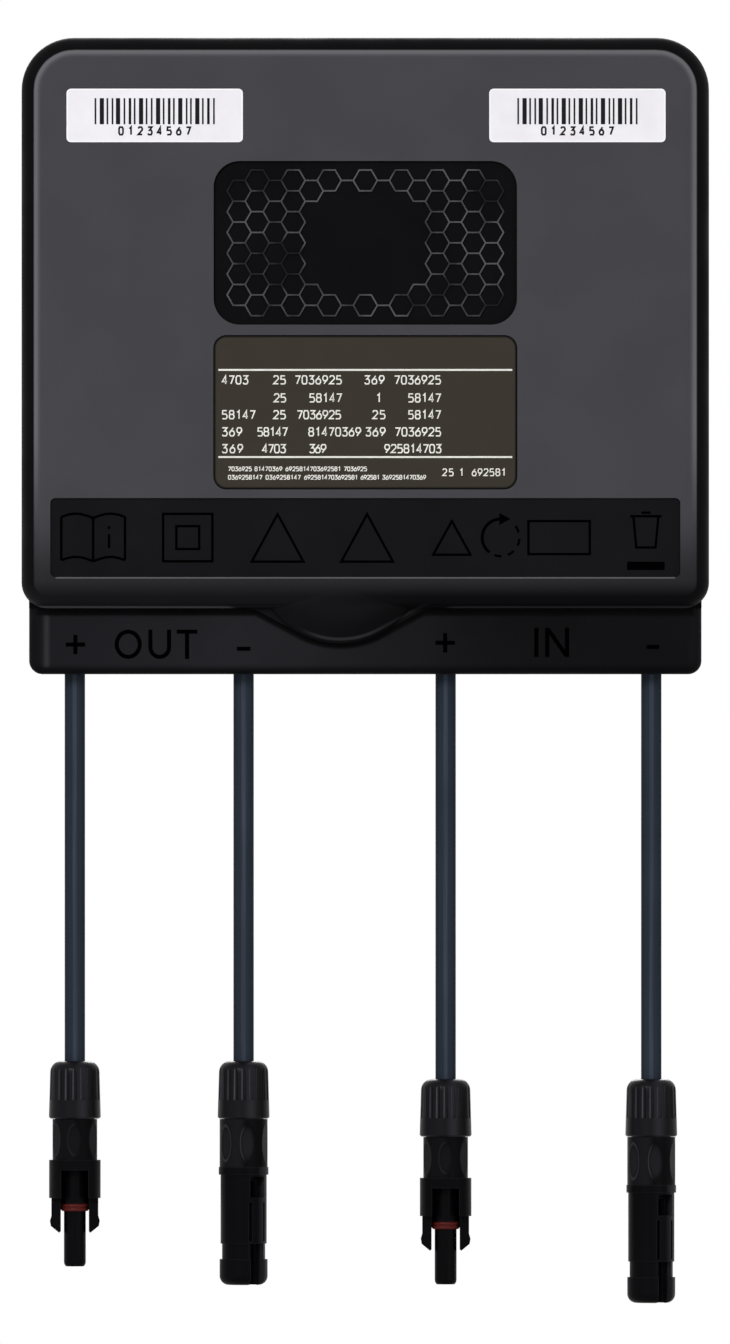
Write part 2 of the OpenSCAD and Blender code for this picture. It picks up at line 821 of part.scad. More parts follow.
module board_screws() {
    color(steel_colour) upright() for (at = standoffs) translate([at.x, at.y, 0]) difference() {
        union() {
            rod(board_screw_head_d, board_top_d, board_top_d + board_screw_head_h);
            rod(board_screw_d, board_top_d - board_screw_l, board_top_d + 1);
        }
        rod(board_hex_d, board_top_d + board_screw_head_h - board_hex_depth,
            board_top_d + board_screw_head_h + 1, $fn = 6);
    }
}

module heat_spreader() {
    color(steel_colour) upright()
        plate(spreader_w, spreader_h, spreader_r, tray_floor, tray_floor + spreader_t, 0, power_z);
}

module thermal_pad() {
    from = tray_floor + spreader_t;
    color("#8c96a0") upright()
        plate(spreader_w - 2 * pad_margin, pad_h, pad_r, from, from + pad_t, 0, power_z);
}

module mosfets() {
    from = board_d - mosfet_t;
    color("#202022") upright() for (i = [0:mosfet_count - 1])
        translate([(i - (mosfet_count - 1) / 2) * mosfet_pitch - mosfet_w / 2, power_z - mosfet_h / 2, from])
            cube([mosfet_w, mosfet_h, mosfet_t]);
}

// Core with a round middle post and two yokes, open at its long sides
module choke_core(x) {
    inner_t = choke_t - 2 * choke_yoke_t;
    color("#3a3a3e") upright() translate([x, choke_z, board_top_d]) difference() {
        translate([-choke_w / 2, -choke_h / 2, 0]) cube([choke_w, choke_h, choke_t]);
        translate([0, 0, choke_yoke_t]) ring(winding_d + 2 * choke_window_gap, choke_post_d, 0, inner_t);
    }
}

module choke_winding(x) {
    inner_t = choke_t - 2 * choke_yoke_t;
    color("#a8602c") upright() translate([x, choke_z, board_top_d + choke_yoke_t])
        ring(winding_d, choke_post_d + 2 * winding_gap, winding_gap, inner_t - winding_gap);
}

module bulk_capacitors() {
    color("#2b2f36") upright() for (x = bulk_xs) translate([x, bulk_z, board_top_d])
        rotate_extrude() polygon([
            [0, 0], [bulk_d / 2, 0], [bulk_d / 2, bulk_t - bulk_rim],
            [bulk_d / 2 - bulk_rim, bulk_t], [0, bulk_t],
        ]);
}

module film_capacitors() {
    color("#b9a23a") upright() for (x = film_xs)
        plate(film_size.x, film_size.y, film_r, board_top_d, board_top_d + film_size.z, x, film_z);
}

module control_chip() {
    color("#1a1a1c") upright() translate([0, choke_z, board_top_d]) {
        translate([-chip_w / 2, -chip_w / 2, 0]) cube([chip_w, chip_w, chip_t]);
        translate([-chip_lead_w / 2, -chip_row_w / 2, 0]) cube([chip_lead_w, chip_row_w, chip_lead_t]);
        translate([-chip_row_w / 2, -chip_lead_w / 2, 0]) cube([chip_row_w, chip_lead_w, chip_lead_t]);
    }
}

// Leads

// Axis of a lead, with the underside of the strip at zero and Z up
module at_exit(i) {
    translate([lead_xs[i], -lead_d, strip_z]) children();
}

// Axis of a lead's connector, with the top of its nut at zero, Z down and the front towards +Y
module at_connector(i) {
    route = lead_routes[i];
    at_exit(i) translate([0, 0, route[len(route) - 1] + jacket_l]) rotate([180, 0, 0]) children();
}

module cable(i) {
    route = lead_routes[i];
    upper = route[0];
    lower = route[len(route) - 1];
    color(cable_colour) at_exit(i) {
        tube([for (z = route) [0, 0, z]], cable_d);
        rod(conductor_d, upper - 1, upper + conductor_l);
        rod(conductor_d, lower - conductor_l, lower + 1);
    }
}

// Crimped barrel with a flat tab that lies on the circuit board
module lug(i) {
    from = lead_routes[i][0] + lug_gap;
    tab_y = lead_d - board_top_d;
    color(tin_colour) at_exit(i) difference() {
        union() {
            rod(lug_d, from, from + lug_l);
            translate([-lug_tab_w / 2, tab_y - lug_tab_t, from + lug_l - lug_tab_overlap])
                cube([lug_tab_w, lug_tab_t, lug_tab_l]);
        }
        rod(conductor_d + 2 * part_fit, from - 1, from + conductor_l - lug_gap + bore_spare);
    }
}

module gland_seal(i) {
    color(rubber_colour) at_exit(i)
        ring(gland_d - 2 * part_fit, cable_d + 2 * part_fit, gland_wall, gland_wall + gland_seal_l);
}

module gland_cap(i) {
    from = gland_wall + gland_seal_l;
    color(connector_colour) at_exit(i)
        ring(gland_d - 2 * part_fit, cable_d + 2 * cable_fit, from, from + gland_cap_l);
}

// Connectors

module nut(i) {
    r = nut_d / 2;
    top_r = nut_top_d / 2;
    hole_r = cable_d / 2 + cable_fit;
    bore_r = sleeve_d / 2 + part_fit;
    color(connector_colour) at_connector(i) difference() {
        rotate_extrude() polygon(concat(
            [[hole_r, 0]],
            arc([top_r - nut_shoulder_r, nut_shoulder_r], nut_shoulder_r, -90, 0, 8),
            [[r, nut_l - nut_edge], [r - nut_edge, nut_l], [bore_r, nut_l], [bore_r, nut_hole_l],
             [hole_r, nut_hole_l]]
        ));
        for (k = [0:nut_grooves - 1]) rotate([0, 0, 360 * k / nut_grooves])
            translate([top_r + nut_groove_r - nut_groove_depth, 0, 0])
                rod(2 * nut_groove_r, nut_groove_from, nut_groove_to);
    }
}

// Collet that grips the cable, with slits between its fingers
module clamp(i) {
    hole_r = cable_d / 2 + part_fit;
    wide_r = sleeve_d / 2 - part_fit;
    slim_r = sleeve_bore_d / 2 - part_fit;
    color("#6a6b6e") at_connector(i) difference() {
        rotate_extrude() polygon([
            [hole_r, clamp_from], [wide_r - clamp_edge, clamp_from], [wide_r, clamp_from + clamp_edge],
            [wide_r, sleeve_from - part_fit], [slim_r, sleeve_from - part_fit],
            [slim_r, clamp_to], [hole_r, clamp_to],
        ]);
        for (k = [0:clamp_slits - 1]) rotate([0, 0, 360 * k / clamp_slits])
            translate([0, -clamp_slit_w / 2, sleeve_from + bore_spare])
                cube([sleeve_d, clamp_slit_w, clamp_to]);
    }
}

module cable_seal(i) {
    color(rubber_colour) at_connector(i)
        ring(sleeve_bore_d - 2 * part_fit, cable_d + 2 * part_fit, clamp_to + part_fit, seal_to);
}

// Lens-shaped dishes round a grip
module dishes(d, from, l, cut_r) {
    for (k = [0:plug_dishes - 1]) rotate([0, 0, 360 * (k + 0.5) / plug_dishes])
        translate([d / 2 - dish_depth + cut_r, 0, from + l / 2]) rotate([90, 0, 0])
            cylinder(r = cut_r, h = d, center = true, $fn = 96);
}

module latch_arm() {
    tip = collar_to + arm_l;
    barb_at = tip - arm_barb_l;
    barb_r = arm_to_r + arm_barb;
    rotate([90, 0, 0]) translate([0, 0, -arm_w / 2]) linear_extrude(arm_w) polygon([
        [arm_from_r, collar_to - 1], [arm_to_r, collar_to - 1], [arm_to_r, barb_at - arm_barb_ramp],
        [barb_r, barb_at], [barb_r - arm_barb_taper, barb_at + arm_barb_ramp],
        [arm_from_r + arm_tip_edge, tip], [arm_from_r, tip - arm_tip_edge],
    ]);
}

// Collar with a window in its front, and an apron behind that reaches past the sealing ring
module plug_collar() {
    back = -collar_depth / 2;
    apron_w = collar_window_w + collar_back_t;
    difference() {
        intersection() {
            rod(collar_d, collar_from, collar_to);
            translate([-collar_d, back, collar_from]) cube([2 * collar_d, collar_depth, collar_l]);
        }
        translate([-collar_window_w / 2, back + collar_back_t, collar_from + collar_roof])
            cube([collar_window_w, collar_d, collar_l]);
    }
    intersection() {
        rod(collar_d, collar_to - 1, collar_to + collar_apron_l);
        translate([-apron_w / 2, back, collar_to - 1]) cube([apron_w, collar_back_t, collar_apron_l + 1]);
    }
}

module plug(i) {
    color(connector_colour) at_connector(i) difference() {
        union() {
            rod(sleeve_d, sleeve_from, body_from + 1);
            difference() {
                rod(plug_d, body_from, collar_from + 1);
                dishes(plug_d, body_from, plug_grip_l, plug_dish_r);
            }
            plug_collar();
            rod(core_d, collar_from, core_to);
            rotate_extrude() polygon(concat(
                [[0, core_to - 1], [snout_d / 2, core_to - 1]],
                arc([snout_d / 2 - snout_tip_r, snout_to - snout_tip_r], snout_tip_r, 0, 90, 4),
                [[0, snout_to]]
            ));
            for (side = [0, 1]) mirror([side, 0, 0]) latch_arm();
        }
        rod(sleeve_bore_d, sleeve_from - 1, sleeve_floor);
        rod(contact_d + 2 * part_fit, sleeve_floor - 1, snout_to + 1);
    }
}

module sealing_ring(i) {
    inner = snout_d / 2 + part_fit;
    lobe = ring_l / 4;
    color(ring_colour) at_connector(i) rotate_extrude() polygon(concat(
        [[inner, ring_from]],
        arc([ring_d / 2 - lobe, ring_from + lobe], lobe, -90, 60, 5),
        arc([ring_d / 2 - lobe, ring_from + ring_l - lobe], lobe, -60, 90, 5),
        [[inner, ring_from + ring_l]]
    ));
}

// Round section with two flats
module barrel_section(d, flats, from, to) {
    intersection() {
        rod(d, from, to);
        translate([-flats / 2, -d, from]) cube([flats, 2 * d, to - from]);
    }
}

module socket_cuts() {
    rod(sleeve_bore_d, sleeve_from - 1, sleeve_floor);
    rod(crimp_d + 2 * part_fit, sleeve_floor - 1, mouth_floor + 1);
    rod(mouth_bore_d, mouth_floor, mouth_to + 1);
    translate([-channel_half, -channel_w / 2, mouth_floor])
        cube([2 * channel_half, channel_w, mouth_to - mouth_floor + 1]);
    for (side = [0, 1]) mirror([side, 0, 0]) {
        translate([channel_half - latch_sink, -latch_w / 2, latch_from]) cube([socket_d, latch_w, latch_l]);
        translate([socket_flats / 2 - keyway_depth, -latch_w / 2, neck_from])
            cube([socket_d, latch_w, mouth_to - neck_from + 1]);
        for (y = [-slot_y, slot_y])
            translate([socket_flats / 2 - slot_depth, y - slot_w / 2, slot_from])
                cube([socket_d, slot_w, slot_l]);
    }
}

module socket(i) {
    cap_edge_d = socket_d - 2 * mouth_edge_r;
    color(connector_colour) at_connector(i) rotate([0, 0, socket_turn]) difference() {
        union() {
            rod(sleeve_d, sleeve_from, body_from + 1);
            difference() {
                rod(socket_d, body_from, socket_ring_from + 1);
                dishes(socket_d, body_from, socket_grip_l, dish_r);
            }
            rod(socket_ring_d, socket_ring_from, barrel_from);
            barrel_section(socket_d - barrel_step, socket_flats, barrel_from - 1, neck_from);
            barrel_section(socket_d - 2 * neck_step, socket_flats - 2 * neck_step,
                neck_from - 1, mouth_from + 1);
            intersection() {
                barrel_section(socket_d, socket_flats + mouth_step, mouth_from, mouth_to);
                rotate_extrude() polygon(concat(
                    [[0, mouth_from - 1], [socket_d / 2 + 1, mouth_from - 1]],
                    [[socket_d / 2 + 1, mouth_to - mouth_edge_r]],
                    arc([cap_edge_d / 2, mouth_to - mouth_edge_r], mouth_edge_r, 0, 90, 6),
                    [[0, mouth_to]]
                ));
            }
        }
        socket_cuts();
    }
}

// Hole in a contact's crimp barrel that takes the conductor
module crimp_bore() {
    rod(conductor_d + 2 * part_fit, crimp_from - 1, crimp_from + crimp_bore_l);
}

module pin_contact(i) {
    color(tin_colour) at_connector(i) difference() {
        union() {
            rod(crimp_d, crimp_from, mouth_floor);
            rotate_extrude() polygon(concat(
                [[0, mouth_floor - 1], [pin_d / 2, mouth_floor - 1]],
                arc([pin_d / 2 - pin_tip_r, pin_tip - pin_tip_r], pin_tip_r, 0, 90, 4),
                [[0, pin_tip]]
            ));
        }
        crimp_bore();
    }
}

module socket_contact(i) {
    color(tin_colour) at_connector(i) difference() {
        union() {
            rod(crimp_d, crimp_from, crimp_to + 1);
            rod(contact_d, crimp_to, contact_tip);
        }
        crimp_bore();
        rod(contact_bore_d, contact_tip - contact_bore_l, contact_tip + 1);
    }
}

front_cover();
back_tray();
cover_gasket();
cover_screws();
mount_inserts();
serial_label(serial_left_inset - housing_w / 2);  // serial_label_left
serial_label(housing_w / 2 - serial_right_inset);  // serial_label_right
rating_label();
circuit_board();
board_screws();
heat_spreader();
thermal_pad();
mosfets();
choke_core(-choke_x);  // choke_core_left
choke_core(choke_x);  // choke_core_right
choke_winding(-choke_x);  // choke_winding_left
choke_winding(choke_x);  // choke_winding_right
bulk_capacitors();
film_capacitors();
control_chip();
for (i = [OUT_POS, OUT_NEG, IN_POS, IN_NEG]) {
    cable(i);
    lug(i);
    gland_seal(i);
    gland_cap(i);
    nut(i);
    clamp(i);
    cable_seal(i);
}
for (i = [OUT_POS, IN_POS]) {
    plug(i);
    sealing_ring(i);
    socket_contact(i);
}
for (i = [OUT_NEG, IN_NEG]) {
    socket(i);
    pin_contact(i);
}
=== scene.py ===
"""Looks of a solar power optimizer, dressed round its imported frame.

Metres, Z up, the front towards -Y. The camera looks straight at the front, as in the photograph.
"""

import math

import bmesh
import bpy
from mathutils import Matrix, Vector


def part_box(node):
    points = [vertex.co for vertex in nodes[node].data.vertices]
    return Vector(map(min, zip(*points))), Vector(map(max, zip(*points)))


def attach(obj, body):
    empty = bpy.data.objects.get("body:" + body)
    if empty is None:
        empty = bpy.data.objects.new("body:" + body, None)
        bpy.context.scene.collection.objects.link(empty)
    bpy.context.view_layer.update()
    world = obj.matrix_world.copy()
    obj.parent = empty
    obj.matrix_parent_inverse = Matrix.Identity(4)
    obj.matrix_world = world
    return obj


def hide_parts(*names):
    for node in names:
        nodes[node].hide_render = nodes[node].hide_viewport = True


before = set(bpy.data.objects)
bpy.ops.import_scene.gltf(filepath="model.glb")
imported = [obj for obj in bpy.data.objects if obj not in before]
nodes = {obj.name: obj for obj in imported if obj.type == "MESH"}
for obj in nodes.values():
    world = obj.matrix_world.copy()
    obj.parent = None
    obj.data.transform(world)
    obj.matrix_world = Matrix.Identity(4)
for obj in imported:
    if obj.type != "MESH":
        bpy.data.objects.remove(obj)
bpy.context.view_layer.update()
scene = bpy.context.scene
MM = 0.001

# Levels of the faces that carry print, from the frame
FACE_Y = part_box("front_cover")[0].y
STRIP_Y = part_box("back_tray")[0].y
SERIAL_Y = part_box("serial_label_left")[0].y
RATING_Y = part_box("rating_label")[0].y
STRIP_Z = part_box("back_tray")[0].z

# The photograph's frame, measured at the cover's front face
IMAGE_H = 1344
PIXELS_PER_MM = 3.0
VIEW_X = -0.1 * MM
VIEW_Z = -105.25 * MM
VIEW_DISTANCE = 9.5
SENSOR = 36.0
# The outline that the photograph shows lies a little behind the front face
OUTLINE_BEHIND = 14 * MM

# Recesses in the cover: half width, half height and middle height, and how deep they are
COMB_HALF_W = 50.6 * MM
COMB_HALF_H = 27.4 * MM
COMB_Z = 37.6 * MM
RIDGE_HALF_W = 47.5 * MM
RIDGE_HALF_H = 25.6 * MM
BAND_HALF_W = 105 * MM
BAND_HALF_H = 13.2 * MM
BAND_Z = -60.5 * MM
BAND_Y = FACE_Y + 0.8 * MM
BAND_FOOT_Z = BAND_Z - BAND_HALF_H - 0.3 * MM
BEVEL_HALF = 0.8 * MM
COMB_FLOOR = 1.0 * MM
RECESS_LIP = 0.4 * MM
LABEL_RING = 0.4 * MM
LABEL_FLOOR = 0.3 * MM

# The cover's lower edge and the outline of its lip: an arc with a straight flank at each end
LIP_DROP = 11.8 * MM
LIP_X = -8.4 * MM
LIP_R = 28.3 * MM
LIP_SLOPE = math.radians(28)
COVER_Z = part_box("front_cover")[0].z + LIP_DROP
LIP_MIDDLE_Z = COVER_Z - LIP_DROP + LIP_R

# Leads: the heights of each cable's points above the underside of the strip, in millimetres
OUT_ROUTE = (29, 24, 16, 8, 0, -10, -20, -32, -44, -56, -68, -80, -92, -104, -116, -128, -138, -147)
IN_ROUTE = (29, 24, 16, 8, 0, -10, -20, -32, -44, -56, -68, -80, -92, -104, -116, -128, -140, -153)
LEADS = {"out_pos": OUT_ROUTE, "out_neg": OUT_ROUTE, "in_pos": IN_ROUTE, "in_neg": IN_ROUTE}

# Grips of the connectors: radius between their dishes, length, and the painted highlight in a dish and on
# its lit rim
GRIP_R = {"plug": 7.45 * MM, "socket": 8 * MM}
GRIP_L = {"plug": 13.6 * MM, "socket": 16 * MM}
DISH_SHADES = {"plug": "111013", "socket": "1b1a1d"}
RIM_SHADES = {"plug": "1c1b1e", "socket": "302e32"}


def middle(name):
    low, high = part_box(name)
    return (low + high) / 2


def size(name):
    low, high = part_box(name)
    return high - low


def shade(code):
    """Linear colour of a six-digit web colour."""
    parts = [int(code[i:i + 2], 16) / 255 for i in (0, 2, 4)]
    return tuple(c / 12.92 if c <= 0.04045 else ((c + 0.055) / 1.055) ** 2.4 for c in parts) + (1.0,)


# Parts of a noise's range from 0 to 1 over which clouds, and sharper marks, come and go
CLOUDS = (0.3, 0.7)
MARKS = (0.35, 0.65)
# How much a bevelled normal agrees with the true one, on a flat face and on an edge
EDGE_TURN = (0.99, 0.8)
EDGE_SAMPLES = 4


class Finish:
    """A material made of nodes, with a short call for each kind of node that is used here."""

    def __init__(self, name, **sockets):
        self.material = bpy.data.materials.new(name)
        self.material.use_nodes = True
        self.tree = self.material.node_tree
        self.surface = self.tree.nodes["Principled BSDF"]
        self.place = self.add("ShaderNodeTexCoord")
        for socket, value in sockets.items():
            self.set(socket.replace("_", " "), value)

    def add(self, kind):
        return self.tree.nodes.new(kind)

    def feed(self, socket, value):
        """Links a socket to an output, or sets it to a plain value."""
        if isinstance(value, bpy.types.NodeSocket):
            self.tree.links.new(value, socket)
        else:
            socket.default_value = value

    def set(self, socket, value):
        self.feed(self.surface.inputs[socket], value)

    def split(self, output):
        """The three parts of a vector that depends on the place on the object."""
        node = self.add("ShaderNodeSeparateXYZ")
        self.feed(node.inputs[0], self.place.outputs[output])
        return node.outputs

    def math(self, operation, *values):
        node = self.add("ShaderNodeMath")
        node.operation = operation
        for socket, value in zip(node.inputs, values):
            self.feed(socket, value)
        return node.outputs[0]

    def minus(self, first, second):
        return self.math("SUBTRACT", first, second)

    def apart(self, first, second):
        """How far two values lie from each other."""
        return self.math("ABSOLUTE", self.minus(first, second))

    def times(self, product, *values):
        for value in values:
            product = self.math("MULTIPLY", product, value)
        return product

    def reach(self, first, second):
        """Length of a vector with these two parts."""
        square = self.math("ADD", self.math("POWER", first, 2.0), self.math("POWER", second, 2.0))
        return self.math("SQRT", square)

    def near(self, value, centre, half):
        """1 where a value lies within half of the centre."""
        return self.math("COMPARE", value, centre, half)

    def ramp(self, value, low, high, start=0.0, end=1.0):
        """Smooth step from start at low to end at high."""
        node = self.add("ShaderNodeMapRange")
        node.interpolation_type = "SMOOTHSTEP"
        for socket, part in zip(node.inputs, (value, low, high, start, end)):
            self.feed(socket, part)
        return node.outputs[0]

    def noise(self, scale, detail=3.0, stretch=(1, 1, 1)):
        """Cloudy noise with so many features a metre, drawn out along an axis where stretch is small."""
        place = self.add("ShaderNodeMapping")
        self.feed(place.inputs["Vector"], self.place.outputs["Object"])
        place.inputs["Scale"].default_value = stretch
        node = self.add("ShaderNodeTexNoise")
        self.feed(node.inputs["Vector"], place.outputs[0])
        node.inputs["Scale"].default_value = scale
        node.inputs["Detail"].default_value = detail
        return node.outputs[0]

    def mix(self, share, first, second):
        node = self.add("ShaderNodeMix")
        node.data_type = "RGBA"
        for index, value in ((0, share), (6, first), (7, second)):
            self.feed(node.inputs[index], value)
        return node.outputs[2]

    def mottle(self, colour, amount, scale=35.0):
        """The colour with faint darker and lighter clouds."""
        clouds = self.ramp(self.noise(scale, 5.0), *CLOUDS, 1 - amount, 1 + amount)
        node = self.add("ShaderNodeVectorMath")
        node.operation = "SCALE"
        self.feed(node.inputs[0], colour if isinstance(colour, bpy.types.NodeSocket) else colour[:3])
        self.feed(node.inputs["Scale"], clouds)
        return node.outputs[0]

    def edge(self, width):
        """1 on sharp edges, fading over that width."""
        node = self.add("ShaderNodeBevel")
        node.samples = EDGE_SAMPLES
        node.inputs["Radius"].default_value = width
        turned = self.add("ShaderNodeVectorMath")
        turned.operation = "DOT_PRODUCT"
        self.feed(turned.inputs[0], node.outputs[0])
        self.feed(turned.inputs[1], self.add("ShaderNodeNewGeometry").outputs["True Normal"])
        return self.ramp(turned.outputs["Value"], *EDGE_TURN)

    def vary_roughness(self, roughness, spread, scale=60.0):
        clouds = self.noise(scale, 4.0)
        self.set("Roughness", self.ramp(clouds, *CLOUDS, roughness - spread, roughness + spread))

    def relief(self, height, depth):
        """Bump of that depth from a height between 0 and 1."""
        node = self.add("ShaderNodeBump")
        node.inputs["Distance"].default_value = depth
        self.feed(node.inputs["Height"], height)
        self.set("Normal", node.outputs[0])

    def grain(self, scale, depth, detail=2.0):
        """Fine relief with so many grains a metre."""
        self.relief(self.noise(scale, detail), depth)


def moulded(name, code, roughness, specular, grain_mm=0.5, depth_mm=0.02):
    """Moulded plastic: fine grain in relief and faint clouds."""
    finish = Finish(name, Specular_IOR_Level=specular)
    finish.set("Base Color", finish.mottle(shade(code), amount=0.1))
    finish.vary_roughness(roughness, spread=0.06)
    finish.grain(1 / (grain_mm * MM), depth_mm * MM)
    return finish


def metal(name, code, roughness, stretch=(1, 1, 1)):
    """Bare or plated metal with fine tool marks and faint stains."""
    finish = Finish(name, Metallic=1.0)
    marks = finish.noise(scale=3000.0, stretch=stretch)
    finish.set("Base Color", finish.mottle(shade(code), amount=0.1, scale=200.0))
    finish.set("Roughness", finish.ramp(marks, *CLOUDS, start=roughness - 0.08, end=roughness + 0.1))
    finish.relief(marks, depth=0.008 * MM)
    return finish


def ink(name, code, roughness=0.5, specular=0.1):
    """Printing ink, a little uneven."""
    finish = Finish(name, Specular_IOR_Level=specular)
    finish.set("Base Color", finish.mottle(shade(code), amount=0.08, scale=300.0))
    finish.vary_roughness(roughness, spread=0.08, scale=300.0)
    finish.grain(scale=2500.0, depth=0.004 * MM)
    return finish


# The housing's finish. Each pair of values is where a change of shade starts and where it is complete

HOUSING_GRAIN = 2200.0
HOUSING_GRAIN_DEPTH = 0.025 * MM
# Black of the painted shade on the cover's rim and foot and in the ring round the rating label
SHADE_BLACK = "060507"

# Heights at which the painted shade on the cover's face and foot, and the painted highlights on its turned
# edge and lower edge, change
FACE_DARKENS = (-50 * MM, -77 * MM)
TURN_LIGHTENS = (-60 * MM, -20 * MM)
FOOT_DARKENS = (-74 * MM, -81 * MM)
EDGE_LIGHTENS = (-70 * MM, -78 * MM)
LIP_STARTS = (COVER_Z + 2 * MM, COVER_Z)

# Parts of the normal: 1 or -1 where a face looks along that axis, 0 where it lies along it
FACE_TURNS = (0.99, 0.92)
RIM_STARTS = (0.9, 0.86)
WALL_STARTS = (0.25, 0.05)
EDGE_TURNS_DOWN = (-0.88, -0.95)
BEVEL_TURNS_UP = (0.3, 0.6)
LOOKS_FRONT = (-0.9, -0.98)
LOOKS_BACK = (-0.2, 0.2)

# Depths inside the lip's outline, and places across the lip
LIP_REACHED = (-4 * MM, -2 * MM)
LIP_DARKENS = (12 * MM, 3 * MM)
LIP_LINE_IN = 1.5 * MM
LIP_LINE = (0.8 * MM, 0.1 * MM)
LIP_RIGHT = (LIP_X - 20 * MM, LIP_X + 30 * MM)
LIP_LINE_STARTS = (LIP_X - 15 * MM, LIP_X - 5 * MM)
LIP_LINE_FADES = (LIP_X + 6 * MM, LIP_X + 20 * MM)
LIP_LINE_LEFT_OVER = 0.3

# Places across the tray and heights on its strip, where its painted shade and highlight change, and
# distances from the shadow's edge
TRAY_LIGHTENS = (-110 * MM, -40 * MM)
TRAY_DARKENS = (-40 * MM, 60 * MM)
TRAY_LINE_X = -106.2 * MM
TRAY_LINE = (1.6 * MM, 0.0)
TRAY_ENDS = (107 * MM, 109 * MM)
TRAY_FOOT = (STRIP_Z + 3.5 * MM, STRIP_Z + 0.5 * MM)
SHADOW_Z = COVER_Z - 0.7 * MM
SHADOW_FADES = (-2.4 * MM, -1.2 * MM)


def inside_lip(finish, x, z):
    """How far a place on the front lies inside the outline of the cover's lip."""
    across = finish.apart(x, LIP_X)
    down = finish.minus(LIP_MIDDLE_Z, z)
    turn = finish.math("MINIMUM", finish.math("ARCTAN2", across, down), LIP_SLOPE)
    aside = finish.times(across, finish.math("SINE", turn))
    ahead = finish.times(down, finish.math("COSINE", turn))
    return finish.minus(LIP_R, finish.math("ADD", aside, ahead))


def within(finish, wide, z, half_w, half_h, middle_z):
    """1 inside a rectangle on the front."""
    return finish.times(finish.near(wide, 0.0, half_w), finish.near(z, middle_z, half_h))


def paint_lip(finish, colour, x, z, upward):
    """Painted shade towards the cover's foot and over its lip, and a painted highlight along both lower
    edges.
    """
    inside = inside_lip(finish, x, z)
    right = finish.ramp(x, *LIP_RIGHT)
    # Painted shade: the foot darkens downward and towards the right.
    foot = finish.mix(right, shade("131215"), shade(SHADE_BLACK))
    colour = finish.mix(finish.ramp(z, *FOOT_DARKENS), colour, foot)
    # Painted shade: the lip darkens towards its edge and towards the right.
    on_lip = finish.times(finish.ramp(inside, *LIP_REACHED), finish.ramp(z, *LIP_STARTS))
    end = finish.mix(right, shade("0d0c0f"), shade("040405"))
    fall = finish.mix(finish.ramp(inside, *LIP_DARKENS), shade("111013"), end)
    colour = finish.mix(on_lip, colour, fall)
    # Painted highlight: a light line along the cover's downward-facing lower edge, dimmer at the right.
    edge = finish.times(finish.ramp(upward, *EDGE_TURNS_DOWN), finish.ramp(z, *EDGE_LIGHTENS))
    edge = finish.times(edge, finish.minus(1.0, on_lip))
    colour = finish.mix(edge, colour, finish.mix(right, shade("48474b"), shade("2a292d")))
    # Painted highlight: a light line just inside the lip's edge, fading in at the left and partly out at
    # the right.
    line = finish.times(on_lip, finish.ramp(finish.apart(inside, LIP_LINE_IN), *LIP_LINE))
    line = finish.times(line, finish.ramp(x, *LIP_LINE_STARTS))
    line = finish.times(line, finish.ramp(x, *LIP_LINE_FADES, start=1.0, end=LIP_LINE_LEFT_OVER))
    return finish.mix(line, colour, shade("2d2c30"))


def paint_recesses(finish, colour, x, y, z, upward):
    """Blackens the band and the honeycomb recess; painted shade round the rating label, highlights on
    ridges.
    """
    wide = finish.math("ABSOLUTE", x)
    sunk = finish.minus(y, FACE_Y)
    deep = finish.math("GREATER_THAN", sunk, RECESS_LIP)
    floor = finish.math("GREATER_THAN", sunk, COMB_FLOOR)
    band = within(finish, wide, z, BAND_HALF_W, BAND_HALF_H, BAND_Z)
    colour = finish.mix(finish.times(band, deep), colour, finish.mottle(shade("100f12"), 0.12))
    # Painted highlight on the upward-facing bevel under the band.
    bevel = finish.times(finish.ramp(upward, *BEVEL_TURNS_UP), finish.near(z, BAND_FOOT_Z, BEVEL_HALF))
    colour = finish.mix(bevel, colour, shade("605f63"))
    comb = within(finish, wide, z, COMB_HALF_W, COMB_HALF_H, COMB_Z)
    colour = finish.mix(finish.times(comb, deep), colour, finish.mottle(shade("050406"), 0.15))
    ridges = within(finish, wide, z, RIDGE_HALF_W, RIDGE_HALF_H, COMB_Z)
    tops = finish.times(ridges, finish.minus(deep, floor))
    # Painted highlight on the ridge tops, uneven at random.
    ridge_glint = finish.ramp(finish.noise(scale=70.0), *MARKS)
    colour = finish.mix(tops, colour, finish.mix(ridge_glint, shade("19181b"), shade("555458")))
    # Painted shade in the sunk ring round the rating label.
    half = size("rating_label") / 2
    ring = within(finish, wide, z, half.x + LABEL_RING, half.z + LABEL_RING, middle("rating_label").z)
    ring = finish.times(ring, finish.math("GREATER_THAN", sunk, LABEL_FLOOR))
    return finish.mix(ring, colour, shade(SHADE_BLACK))


def cover_finish():
    """Dark grey textured face and black recesses, painted shade on the rim, painted highlight where it
    turns.
    """
    finish = Finish("cover_plastic", Specular_IOR_Level=0.04)
    x, y, z = finish.split("Object")
    _, backward, upward = finish.split("Normal")
    facing = finish.times(backward, -1.0)
    colour = finish.mottle(shade("444348"), 0.05)
    # Painted shade: the face darkens towards its foot.
    colour = finish.mix(finish.ramp(z, *FACE_DARKENS), colour, shade("252427"))
    # Painted highlight: a light line where the face starts to turn over, fading out lower down.
    line = finish.times(finish.ramp(facing, *FACE_TURNS), finish.ramp(z, *TURN_LIGHTENS))
    colour = finish.mix(line, colour, shade("68676b"))
    # Painted shade: the steeper part of the rounded rim is painted black.
    colour = finish.mix(finish.ramp(facing, *RIM_STARTS), colour, shade(SHADE_BLACK))
    colour = finish.mix(finish.ramp(facing, *WALL_STARTS), colour, finish.mottle(shade("1a191c"), 0.1))
    colour = paint_lip(finish, colour, x, z, upward)
    finish.set("Base Color", paint_recesses(finish, colour, x, y, z, upward))
    finish.vary_roughness(0.56, spread=0.07)
    finish.grain(HOUSING_GRAIN, HOUSING_GRAIN_DEPTH)
    return finish


